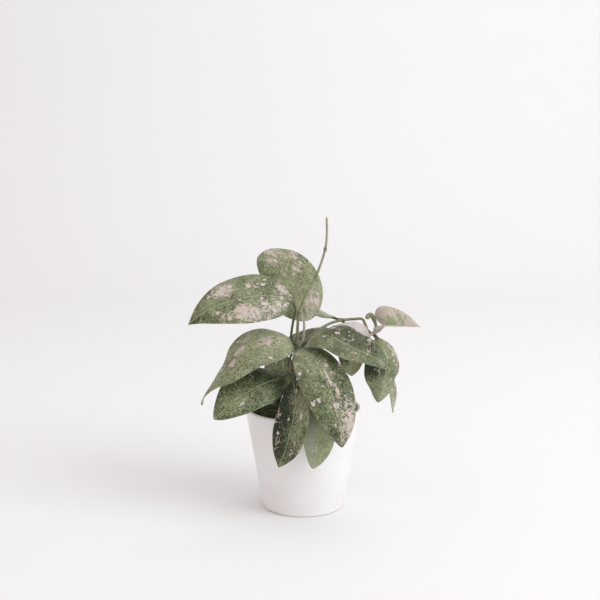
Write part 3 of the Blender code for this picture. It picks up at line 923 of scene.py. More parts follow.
def settle(piece: Piece, node: str) -> None:
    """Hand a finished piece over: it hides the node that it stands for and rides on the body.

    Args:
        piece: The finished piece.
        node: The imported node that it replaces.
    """
    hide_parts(node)
    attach(piece, "root")
    LOG.info("%s: %d faces", piece.name, len(piece.data.polygons))


def arc(centre: tuple[float, float], radius: float, start: float, end: float, steps: int) -> Profile:
    """Return points of a circular arc in the (radius, height) plane.

    Args:
        centre: The arc's centre.
        radius: Its radius.
        start: Its first angle in degrees.
        end: Its last angle in degrees.
        steps: How many steps it is cut into.

    Returns:
        The points.
    """
    angles = [math.radians(start + (end - start) * k / steps) for k in range(steps + 1)]
    return [(centre[0] + radius * math.cos(a), centre[1] + radius * math.sin(a)) for a in angles]


def straight(first: tuple[float, float], last: tuple[float, float], steps: int) -> Profile:
    """Return points spaced evenly between two points, with neither of them."""
    return [(first[0] + (last[0] - first[0]) * k / steps, first[1] + (last[1] - first[1]) * k / steps)
            for k in range(1, steps)]


def profile_object(name: str, profile: Profile) -> Piece:
    """Make an object that holds a profile as a line of points in the XZ plane."""
    verts = np.array([(radius, 0.0, height) for radius, height in profile])
    return mesh_object(name, verts, (), [(k, k + 1) for k in range(len(profile) - 1)])


@dataclass
class Pot:
    """The tapered pot: a plain cone with a rounded foot edge and a rounded lip.

    wall_lean is how far the wall leans out, in degrees.
    """

    height: float = 105.0
    rim_radius: float = 60.0
    foot_radius: float = 42.5
    wall: float = 3.0
    floor: float = 4.0
    foot_rounding: float = 2.0
    inside_rounding: float = 5.0
    wall_lean: float = 9.0
    segments: int = 144
    wall_rows: int = 30
    floor_rows: int = 8
    foot_steps: int = 8
    lip_steps: int = 14
    corner_steps: int = 6

    GLAZE_EDGE = 0.1

    def inner_radius(self, z: float) -> float:
        """Return the radius of the inner wall at a height."""
        return self.foot_radius + (self.rim_radius - self.foot_radius) / self.height * z - self.wall

    def profile(self) -> Profile:
        """Draw the pot's profile from the middle of its foot round to its inner floor.

        Returns:
            The profile's points, as radius and height.
        """
        lip = self.wall / 2
        foot = arc((self.foot_radius - self.foot_rounding, self.foot_rounding), self.foot_rounding,
                   -90, self.wall_lean, self.foot_steps)
        rim = arc((self.rim_radius - lip, self.height - lip), lip, self.wall_lean, 180, self.lip_steps)
        corner = arc((self.inner_radius(self.floor) - self.inside_rounding,
                      self.floor + self.inside_rounding), self.inside_rounding, 0, -90,
                     self.corner_steps)
        points = [(0.0, 0.0)] + straight((0.0, 0.0), foot[0], self.floor_rows) + foot
        points += straight(foot[-1], rim[0], self.wall_rows) + rim
        points += straight(rim[-1], corner[0], self.wall_rows) + corner
        return points + straight(corner[-1], (0.0, self.floor), self.corner_steps) + [(0.0, self.floor)]

    def build(self, turning: Tree) -> Piece:
        """Turn the profile and glaze it.

        Args:
            turning: The tree that turns a profile.

        Returns:
            The pot.
        """
        base = profile_object("hoya_pot", self.profile())
        glaze = SatinGlaze().make(self.height, self.inner_radius(self.height) - self.GLAZE_EDGE)
        return grow(base, turning, {"Segments": self.segments, "Finish": glaze})


@dataclass(frozen=True)
class Scatter:
    """One kind of bit on the mix.

    density is how many lie on a square metre, size how long they are in mm, thickness how thick
    they are against that, and margin how far they stay from the pot's wall in mm.
    """

    density: float
    size: float
    thickness: float
    margin: float
    seed: int


@dataclass
class PottingMix:
    """The mix in the pot: a low uneven mound under crumbs and bark chips.

    ridge_turns and ridge_starts give the mound's long ridges, in radians a mm and radians.
    """

    pot: Pot
    top: float = 96.0
    mound: float = 4.0
    relief: float = 1.0
    ridge_turns: tuple[float, float, float] = (0.31, 0.27, 0.55)
    ridge_starts: tuple[float, float] = (0.7, -0.4)
    touch_gap: float = 0.3
    segments: int = 120
    rings: int = 40
    bits: tuple[Scatter, ...] = (
        Scatter(density=400000.0, size=0.9, thickness=0.6, margin=3.0, seed=3),
        Scatter(density=45000.0, size=2.6, thickness=0.35, margin=6.0, seed=8))

    FLAT_LEVEL = 0.01
    CROSS_SHARE = 0.5

    def profile(self) -> Profile:
        """Draw the mix's profile, with many rings across its top.

        Returns:
            The profile's points, as radius and height.
        """
        low = self.pot.floor + self.pot.inside_rounding + self.touch_gap
        edge = self.pot.inner_radius(self.top) - self.touch_gap
        points = [(0.0, low), (self.pot.inner_radius(low) - 2 * self.touch_gap, low)]
        return points + [(edge * ring / self.rings, self.top) for ring in range(self.rings, -1, -1)]

    def height_at(self, verts: np.ndarray) -> np.ndarray:
        """Lift the top's points to the mound's uneven height.

        Args:
            verts: The mix's points in mm.

        Returns:
            Each point's new height in mm, which is the old one below the top.
        """
        x, y, z = verts.T
        share = np.hypot(x, y) / self.pot.inner_radius(self.top)
        (first, second, cross), (start, other) = self.ridge_turns, self.ridge_starts
        relief = np.sin(first * x + start) * np.cos(second * y + other)
        relief = relief + self.CROSS_SHARE * np.sin(cross * (x - y))
        lifted = z + self.mound * (1 - share ** 2) + self.relief * relief * (1 - share ** 4)
        return np.where(z < self.top - self.FLAT_LEVEL, z, lifted)

    def build(self, turning: Tree, crumbs: Tree) -> Piece:
        """Turn the mix, mound its top and cover it with crumbs and chips.

        Args:
            turning: The tree that turns a profile.
            crumbs: The tree that scatters crumbs.

        Returns:
            The potting mix.
        """
        finish = BarkMix().make()
        mix = grow(profile_object("hoya_potting_mix", self.profile()), turning,
                   {"Segments": self.segments, "Finish": finish})
        verts = np.empty(len(mix.data.vertices) * 3, np.float32)
        mix.data.vertices.foreach_get("co", verts)
        verts = verts.reshape(-1, 3) / MM
        verts[:, 2] = self.height_at(verts)
        mix.data.vertices.foreach_set("co", (verts * MM).ravel())
        for bits in self.bits:
            grow(mix, crumbs, {
                "Density": bits.density, "Chip Size": bits.size * MM, "Thickness": bits.thickness,
                "Clear Radius": (self.pot.inner_radius(self.top) - bits.margin) * MM,
                "Seed": bits.seed, "Finish": finish})
        return mix


@dataclass
class Vine:
    """A stem: its path in mm, its radius at foot and tip, and which points are leaf joints.

    bud is how much thicker its last stretch is, where it ends in a growing shoot.
    """

    name: str
    path: tuple[Point, ...]
    joints: tuple[int, ...]
    foot_radius: float = 1.25
    tip_radius: float = 1.1
    bud: float = 0.0
    seed: int = 1
    old_share: float = 0.6
    joint_swell: float = 0.55
    joint_reach: float = 2.5
    scar: float = 0.22
    bud_length: float = 20.0
    bud_start: float = 8.0
    ring_step: float = 0.8
    sides: int = 20
    tip_round: float = 1.2
    rootlet_density: float = 9000.0
    rootlet_length: float = 1.6

    SWELL_FALL = 2.5
    SCAR_OFFSET = 1.5
    SCAR_REACH = 0.5
    TIP_RINGS = (0.9, 0.6, 0.35, 0.15, 0.0)
    TIP_LEAST = 0.02
    PATTERN_SHIFT = 37.0

    def route(self) -> Route:
        """Return the vine's curve."""
        return Route(self.path)

    def swelling(self, route: Route, distance: np.ndarray) -> np.ndarray:
        """Find how much of each joint's swelling lies at these lengths.

        Args:
            route: The vine's curve.
            distance: The lengths in mm.

        Returns:
            The swelling's share at each length.
        """
        found = np.zeros_like(distance)
        for joint in self.joints:
            offset = (distance - route.length_to(joint)) / self.joint_reach
            found += np.exp(-self.SWELL_FALL * offset * offset)
        return found

    def radius(self, route: Route, distance: np.ndarray) -> np.ndarray:
        """Find the plain radius: a taper, swollen joints and the bud.

        Args:
            route: The vine's curve.
            distance: The lengths in mm.

        Returns:
            The radius in mm at each length.
        """
        taper = self.foot_radius + (self.tip_radius - self.foot_radius) * distance / route.length
        grown = np.clip((distance - route.length + self.bud_length) / self.bud_start, 0.0, 1.0)
        return taper + self.joint_swell * self.swelling(route, distance) + self.bud * grown

    def build(self, stem: Tree, finish: Finish) -> Piece:
        """Grow the stem along its curve, with a scar ring at each joint and a rounded tip.

        Args:
            stem: The tree that grows a stem along a line.
            finish: The stem's material.

        Returns:
            The vine.
        """
        route = self.route()
        count = round(route.length / self.ring_step)
        last = route.length - np.array(self.TIP_RINGS)
        marks = np.concatenate((np.linspace(0.0, route.length - self.tip_round, count), last))
        radius = self.radius(route, marks)
        for joint in self.joints:
            for side in (-self.SCAR_OFFSET, self.SCAR_OFFSET):
                offset = (marks - route.length_to(joint) - side) / self.SCAR_REACH
                radius += self.scar * np.exp(-offset * offset)
        left = np.clip((route.length - marks) / self.tip_round, 0.0, 1.0)
        radius *= dome(1 - left, self.TIP_LEAST)
        base = mesh_object("hoya_" + self.name, route.at(marks), (),
                           [(k, k + 1) for k in range(len(marks) - 1)])
        keep_values(base.data, "stem_radius", radius * MM)
        keep_values(base.data, "stem_along", marks + self.PATTERN_SHIFT * self.seed)
        keep_values(base.data, "stem_joint", np.clip(self.swelling(route, marks), 0.0, 1.0))
        grown = marks / route.length
        keep_values(base.data, "stem_youth", grown)
        blush = (grown - self.old_share) / (1 - self.old_share)
        keep_values(base.data, "stem_blush", np.clip(blush, 0.0, 1.0))
        return grow(base, stem, {
            "Sides": self.sides, "Rootlet Density": self.rootlet_density,
            "Rootlet Length": self.rootlet_length * MM, "Seed": self.seed, "Finish": finish})


@dataclass(frozen=True)
class Blotch:
    """An area of a blade that is splashed, lighter or darker, or under painted sheen, as a soft ellipse;
    most lighter and darker areas are painted light and painted shade.

    share runs from the blade's base to its tip, side from -1 to 1 across it. long and wide are
    the ellipse's reaches in the same units.
    """

    share: float
    side: float
    long: float
    wide: float
    strength: float = 0.62

    FALL = 0.7
    POWER = 1.5

    def field(self, share: np.ndarray, side: np.ndarray) -> np.ndarray:
        """Return the area's strength at these places of the blade."""
        reach = ((share - self.share) / self.long) ** 2 + ((side - self.side) / self.wide) ** 2
        return self.strength * np.exp(-self.FALL * reach ** self.POWER)


@dataclass(frozen=True)
class BladeGrid:
    """A leaf's points: a row for each ring along it, a column for each place across it.

    marks, share and half are columns of one number a row: its length along the leaf, its share of
    the blade and its half-width, in mm but for the share. side runs from -1 to 1 across the row,
    and across is the distance from the midrib in mm. top and low are the points of the upper side
    and the underside.
    """

    marks: np.ndarray
    share: np.ndarray
    half: np.ndarray
    side: np.ndarray
    across: np.ndarray
    top: np.ndarray
    low: np.ndarray

    @staticmethod
    def ringed(upper: np.ndarray, lower: np.ndarray) -> np.ndarray:
        """Return one ring a row: the upper side, then the underside back again."""
        return np.concatenate((upper, lower[:, upper.shape[1] - 2:0:-1]), axis=1)

    def per_point(self, values: np.ndarray | float) -> np.ndarray:
        """Give each point of the closed leaf its value.

        Args:
            values: The values by row and column, or a column of them, or one for all.

        Returns:
            One value a point, the two end points taking their ring's first.
        """
        spread = np.broadcast_to(values, self.side.shape)
        rows = self.ringed(spread, spread)
        return np.concatenate((rows.ravel(), [rows[0, 0], rows[-1, 0]]))


@dataclass
class Leaf:
    """A leaf on its stalk: where it grows, the midrib's path in mm, and the blade's form.

    face and tip_face say where the upper side looks at the base and at the tip. fold lifts the
    edges into a channel, curl turns them down, skew widens the side at +1, and lobe draws the
    edges back round the stalk. turn above 1 keeps the first face longer before it turns to the
    last. wave is how far the margin rises and falls, and buckle how far the blade does, in mm.
    """

    name: str
    vine: str
    joint: int
    path: tuple[Point, ...]
    stalk: float
    width: float
    face: Point
    tip_face: Point
    widest: float = 0.42
    point: float = 1.0
    fold: float = 0.0
    curl: float = 0.12
    skew: float = 0.0
    lobe: float = 0.1
    turn: float = 1.0
    stalk_radius: float = 1.25
    age: LeafAge = LeafAge.GROWN
    # The tone lifts or lowers the whole green; much of it is painted light and painted shade.
    tone_and_painted_light: float = 0.0
    # The sheens areas, with this start, lay painted bluish sheen on the blade.
    dust_and_painted_sheen: float = 0.0
    pink_stalk: float = 0.0
    fleck: float = 0.08
    blotches: tuple[Blotch, ...] = ()
    # The greens areas are mostly painted shade and painted light, with some of the leaf's own green.
    greens_and_painted_shade: tuple[Blotch, ...] = ()
    sheens: tuple[Blotch, ...] = ()
    wave: float = 0.7
    buckle: float = 0.5
    seed: int = 1

    BLADE_CENTRE = 0.9
    TIP_CENTRE = 0.5
    EDGE_HALF = 0.35
    SEAT_SAMPLES = 8
    SEAT_SPAN = 12
    SEAT_STEP = 0.1
    SEAT_GAP = 0.45
    COLUMNS = 24
    BLADE_ROWS = 104
    STALK_STEP = 1.2
    STALK_FADE = 5.0
    BACK_STOP = 0.3
    COLLAR = 0.45
    COLLAR_AT = 2.0
    COLLAR_REACH = 1.6
    TIP_ROUND = 1.0
    TIP_LEAST = 0.003
    EDGE_ROUND = 0.45
    EDGE_COLUMNS = ((0.45, 0.12), (0.14, 0.04))
    GROOVE = 0.4
    GROOVE_REACH = 0.9
    GROOVE_END = 6.0
    RIB = 0.5
    RIB_REACH = 1.3
    RIB_FALL = 0.7
    BASE_POWER = 0.55
    UNDER_FROM = 0.02
    RIPPLE_TURNS = 2.7
    RIPPLE_FALL = 2.5
    BUCKLE_TURNS = 1.3
    BUCKLE_SLANT = 2.2
    FULL_RELIEF = 12.0
    PATTERN_SHIFT = 61.7

    def seat(self, vine: Vine, stem: Route) -> tuple[np.ndarray, float]:
        """Find the stalk's seat on its vine.

        Args:
            vine: The vine.
            stem: The vine's curve.

        Returns:
            The unit direction away from the joint, and how far out the stalk's end starts.
        """
        middle = stem.length_to(self.joint)
        joint = stem.at(np.array(middle))
        away = unit(np.array(self.path[0], float) - joint)
        side = np.array(Vector(away).orthogonal().normalized())
        other = np.cross(away, side)
        turns = 2 * np.pi * np.arange(self.SEAT_SAMPLES) / self.SEAT_SAMPLES
        rim = self.stalk_radius * (np.outer(np.cos(turns), side) + np.outer(np.sin(turns), other))
        marks = middle + self.SEAT_SPAN * np.linspace(-1, 1, self.SEAT_SPAN + 1)
        near, radius = stem.at(marks), vine.radius(stem, marks)
        reach = self.stalk_radius
        while self._clearance(joint + away * reach + rim, near, radius) < self.SEAT_GAP:
            reach += self.SEAT_STEP
        return away, reach

    @staticmethod
    def _clearance(rim: np.ndarray, near: np.ndarray, radius: np.ndarray) -> float:
        """Return how close the stalk's end comes to the vine's skin, in mm."""
        gaps = np.linalg.norm(rim[:, None] - near[None], axis=-1) - radius[None]
        return float(gaps.min())

    def shape(self, share: np.ndarray) -> np.ndarray:
        """Find the blade's half-width, before it is scaled.

        Args:
            share: The shares of the blade's length.

        Returns:
            The half-width at each share, from 0 to 1.
        """
        before = np.clip((self.widest - share) / self.widest, 0.0, 1.0)
        rest = np.clip((share - self.widest) / (1 - self.widest), 0.0, 1.0)
        return np.where(share < self.widest, (1 - before ** 2) ** self.BASE_POWER,
                        (1 - rest ** 2) ** self.point)

    def columns(self, half: np.ndarray) -> np.ndarray:
        """Return where the columns run, from -1 to 1, close together at the midrib and margin.

        Args:
            half: The half-width in mm at each row.

        Returns:
            One row of column places for each half-width.
        """
        inner = eased(self.COLUMNS - 1)
        inset, last = ((1 - np.minimum(reach / half, most))[:, None] for reach, most in self.EDGE_COLUMNS)
        half_row = np.concatenate((inner[None] * inset, last, np.ones((len(half), 1))), axis=1)
        return np.concatenate((-half_row[:, :0:-1], half_row), axis=1)

    def rows(self, length: float, back: float) -> tuple[np.ndarray, np.ndarray]:
        """Return each row's length along the route and its share of the blade.

        Args:
            length: The route's length in mm.
            back: How far before its start the stalk reaches into the vine.

        Returns:
            The lengths and the shares, 0 on the stalk.
        """
        count = max(6, round((self.stalk + back) / self.STALK_STEP))
        on_stalk = np.linspace(-back, self.stalk, count, endpoint=False)
        share = eased(self.BLADE_ROWS)
        blade = self.stalk + (length - self.stalk) * share
        return np.concatenate((on_stalk, blade)), np.concatenate((np.zeros(count), share))

    def relief(self, share: np.ndarray, side: np.ndarray, half: np.ndarray,
               spread: np.ndarray) -> np.ndarray:
        """Find how far the blade rises and falls from its plain form.

        Args:
            share: Each row's share of the blade.
            side: The columns' places at each row.
            half: Each row's half-width in mm.
            spread: How much of the row is blade and not stalk, from 0 to 1.

        Returns:
            The rise at each point in mm.
        """
        start = np.random.default_rng(self.seed).uniform(0.0, 2 * np.pi, 4)
        margin = np.sin(2 * np.pi * self.RIPPLE_TURNS * share + start[0]
                        + np.where(side > 0, start[1], 0.0))
        ripple = self.wave * margin * np.abs(side) ** self.RIPPLE_FALL
        swell = (np.sin(2 * np.pi * self.BUCKLE_TURNS * share + start[2])
                 * np.sin(self.BUCKLE_SLANT * side + start[3]))
        return (ripple + self.buckle * swell) * spread * np.minimum(1.0, half / self.FULL_RELIEF)

    def build(self, vines: dict[str, Vine], skin: Finish, under: Finish) -> Piece:
        """Loft the leaf round its route, from inside the vine to the tip, closed all over.

        Args:
            vines: The vines, by name.
            skin: The upper side's material.
            under: The underside's material.

        Returns:
            The leaf.
        """
        grid = self._grid(vines[self.vine])
        leaf = self._closed(grid, skin, under)
        self._mark(leaf.data, grid)
        return leaf

    def _grid(self, vine: Vine) -> BladeGrid:
        """Work out the leaf's points on both sides.

        Args:
            vine: The vine that it grows on.

        Returns:
            The grid of points.
        """
        stem = vine.route()
        away, reach = self.seat(vine, stem)
        start = stem.at(np.array(stem.length_to(self.joint))) + away * reach
        route = Route((tuple(start),) + self.path)
        marks, share = self.rows(route.length, reach - self.BACK_STOP)
        stalk = self.stalk_radius + (self.TIP_CENTRE - self.stalk_radius) * share
        half = np.hypot(stalk, 0.5 * self.width * self.shape(share))
        spread = (half - stalk) / half
        collar = self.COLLAR * np.exp(-((marks + reach - self.COLLAR_AT) / self.COLLAR_REACH) ** 2)
        half = half + collar
        close = dome(1 - np.clip((route.length - marks) / self.TIP_ROUND, 0.0, 1.0), self.TIP_LEAST)
        side, ribs, along = self.columns(half), route.at(marks), route.direction(marks)
        marks, share, half, spread, collar, close = (
            row[:, None] for row in (marks, share, half, spread, collar, close))
        blend = np.minimum(1.0, 2 * spread)
        thick = self._thickness(share, half, side, blend, self.stalk_radius + collar) * close
        middle = half * spread * (self.fold * np.abs(side) - self.curl * side ** 2)
        middle = middle + self.relief(share, side, half, spread)
        across = half * side * (1 + self.skew * spread * np.sign(side)) * close
        back = self.lobe * half * spread * side ** 2 * (1 - share) ** 3
        groove = self.GROOVE * np.exp(-(across / self.GROOVE_REACH) ** 2) * blend
        groove = groove * np.minimum(1.0, self.GROOVE_END * (1 - share))
        keel = self.RIB * np.exp(-(across / self.RIB_REACH) ** 2) * blend * (1 - share) ** self.RIB_FALL
        first, last = np.array(self.face), np.array(self.tip_face)
        facing = first + (last - first) * share ** self.turn
        normal = unit(facing - along * np.sum(facing * along, axis=1, keepdims=True))
        sideways = np.cross(along, normal)
        plane = ribs[:, None] + sideways[:, None] * across[..., None] - along[:, None] * back[..., None]
        top = plane + normal[:, None] * (middle + thick - groove)[..., None]
        low = plane + normal[:, None] * (middle - thick - keel)[..., None]
        return BladeGrid(marks, share, half, side, across, top, low)

    def _thickness(self, share: np.ndarray, half: np.ndarray, side: np.ndarray, blend: np.ndarray,
                   stalk: np.ndarray) -> np.ndarray:
        """Find half the leaf's thickness, round on the stalk and round only at the blade's edge.

        Args:
            share: Each row's share of the blade.
            half: Each row's half-width in mm.
            side: The columns' places at each row.
            blend: 0 where a row is all stalk, 1 where it is all blade.
            stalk: The stalk's radius in mm at each row.

        Returns:
            Half the thickness at each point in mm.
        """
        blade = self.BLADE_CENTRE + (self.TIP_CENTRE - self.BLADE_CENTRE) * share
        round_half = (stalk + (blade - stalk) * blend) * dome(side)
        rounding = dome(np.clip(1 - half * (1 - np.abs(side)) / self.EDGE_ROUND, 0.0, 1.0))
        return round_half + (np.maximum(self.EDGE_HALF, round_half) * rounding - round_half) * blend

    def _closed(self, grid: BladeGrid, skin: Finish, under: Finish) -> Piece:
        """Join the rows' rings into a closed mesh with both skins.

        Args:
            grid: The leaf's points.
            skin: The upper side's material.
            under: The underside's material.

        Returns:
            The leaf.
        """
        count, wide = grid.side.shape
        rings = grid.ringed(grid.top, grid.low)
        size = rings.shape[1]
        verts = np.concatenate((rings.reshape(-1, 3), rings[0].mean(0)[None], rings[-1].mean(0)[None]))
        first, last = count * size, count * size + 1
        row, spot = np.meshgrid(np.arange(count - 1) * size, np.arange(size), indexing="ij")
        after = (spot + 1) % size
        quads = np.stack((row + spot, row + after, row + size + after, row + size + spot), -1)
        faces = quads.reshape(-1, 4).tolist()
        end = (count - 1) * size
        faces += [(first, (at + 1) % size, at) for at in range(size)]
        faces += [(last, end + at, end + (at + 1) % size) for at in range(size)]
        leaf = mesh_object("hoya_" + self.name, verts, faces)
        leaf.data.materials.append(skin)
        leaf.data.materials.append(under)
        below = np.tile(np.arange(size) >= wide - 1, count - 1)
        ends = np.zeros(2 * size, bool)
        grown = np.concatenate((np.repeat(grid.share[:-1] > self.UNDER_FROM, size), ends))
        index = np.concatenate((below, ends)) & grown
        leaf.data.polygons.foreach_set("material_index", index.astype(np.int32))
        leaf.data.shade_smooth()
        return leaf

    def _mark(self, mesh: bpy.types.Mesh, grid: BladeGrid) -> None:
        """Store what the skins read: the place on the blade, its marks, and its tint with painted light and
        shade.

        Args:
            mesh: The leaf's mesh.
            grid: The leaf's points.
        """
        share, side = grid.share, grid.side
        splash = np.full(side.shape, self.fleck)
        for blotch in self.blotches:
            splash = np.maximum(splash, blotch.field(share, side))
        # The tone and greens areas carry painted light and shade, and the sheens carry painted sheen.
        tone_and_painted_light, dust_and_painted_sheen = (
            start + sum((area.field(share, side) for area in areas), np.zeros(side.shape))
            for start, areas in ((self.tone_and_painted_light, self.greens_and_painted_shade), (self.dust_and_painted_sheen, self.sheens)))
        stalk = np.clip(1 - (grid.marks - self.stalk) / self.STALK_FADE, 0.0, 1.0)
        edge = grid.half * (1 - np.abs(side)) + self.STALK_FADE * stalk
        for name, parts in (
                ("leaf_place", (grid.across, grid.marks, self.PATTERN_SHIFT * self.seed)),
                ("leaf_marks", (splash, edge, stalk)),
                ("leaf_tint_and_painted_light", (tone_and_painted_light, dust_and_painted_sheen, self.pink_stalk))):
            keep_values(mesh, name, np.stack([grid.per_point(part) for part in parts], -1))


@dataclass
class Plant:
    """The vines and the leaves that grow on them."""

    vines: tuple[Vine, ...]
    leaves: tuple[Leaf, ...]

    def build(self, stem: Tree) -> None:
        """Grow every vine and leaf and hand them over.

        Args:
            stem: The tree that grows a stem along a line.
        """
        bark = VineBark().make()
        under = LeafUnderside().make()
        skins = {
            LeafAge.GROWN: WaxyLeaf().make(),
            LeafAge.YOUNG: YoungLeafSkin().make(),
            LeafAge.UNFURLING: YoungLeafSkin(name="unfurling_leaf", blush="#BBB1AE", pink="#C8BFC0",
                                             green="#A8A794", green_share=0.2).make()}
        for vine in self.vines:
            settle(vine.build(stem, bark), vine.name)
        by_name = {vine.name: vine for vine in self.vines}
        for leaf in self.leaves:
            lower = under if leaf.age is LeafAge.GROWN else skins[leaf.age]
            settle(leaf.build(by_name, skins[leaf.age], lower), leaf.name)


VINES = (
    Vine("vine_main",
         path=((-6, 3, 62), (-6, 3, 98), (-6, 3, 106), (-8, 1, 116), (-10, -4, 126), (-12, -10, 143),
               (-7, -12, 172), (-4, -8, 204), (4, -5, 225), (13, -2, 241), (22.3, 2, 268), (24, 3, 284),
               (23.7, 4, 300.5)),
         joints=(5, 6, 7, 9, 10), foot_radius=1.9, seed=1, old_share=0.6),
    Vine("vine_right",
         path=((5, 10, 62), (5, 10, 98), (5, 10, 106), (4, 7, 119), (0, 4, 140), (-1, -3, 169),
               (11, 2, 181), (28, 6, 191), (41, 8, 194), (53, 9, 195), (61, 9, 195), (64, 9, 190),
               (67, 9, 183), (72, 8, 180), (75, 8, 187), (73, 8, 195), (70, 8, 199.5), (67, 8, 198.5),
               (66, 8, 195)),
         joints=(5, 8, 13), foot_radius=1.7, tip_radius=1.3, bud=1.1, seed=2, old_share=0.94),
    Vine("vine_low",
         path=((-12, -13, 62), (-12, -13, 98), (-12, -13, 106), (-13, -17, 117), (-14, -25, 131),
               (-14, -30, 146), (-11, -31, 157), (-7, -31, 163)),
         joints=(5, 6), foot_radius=1.6, seed=3, old_share=0.95),
)

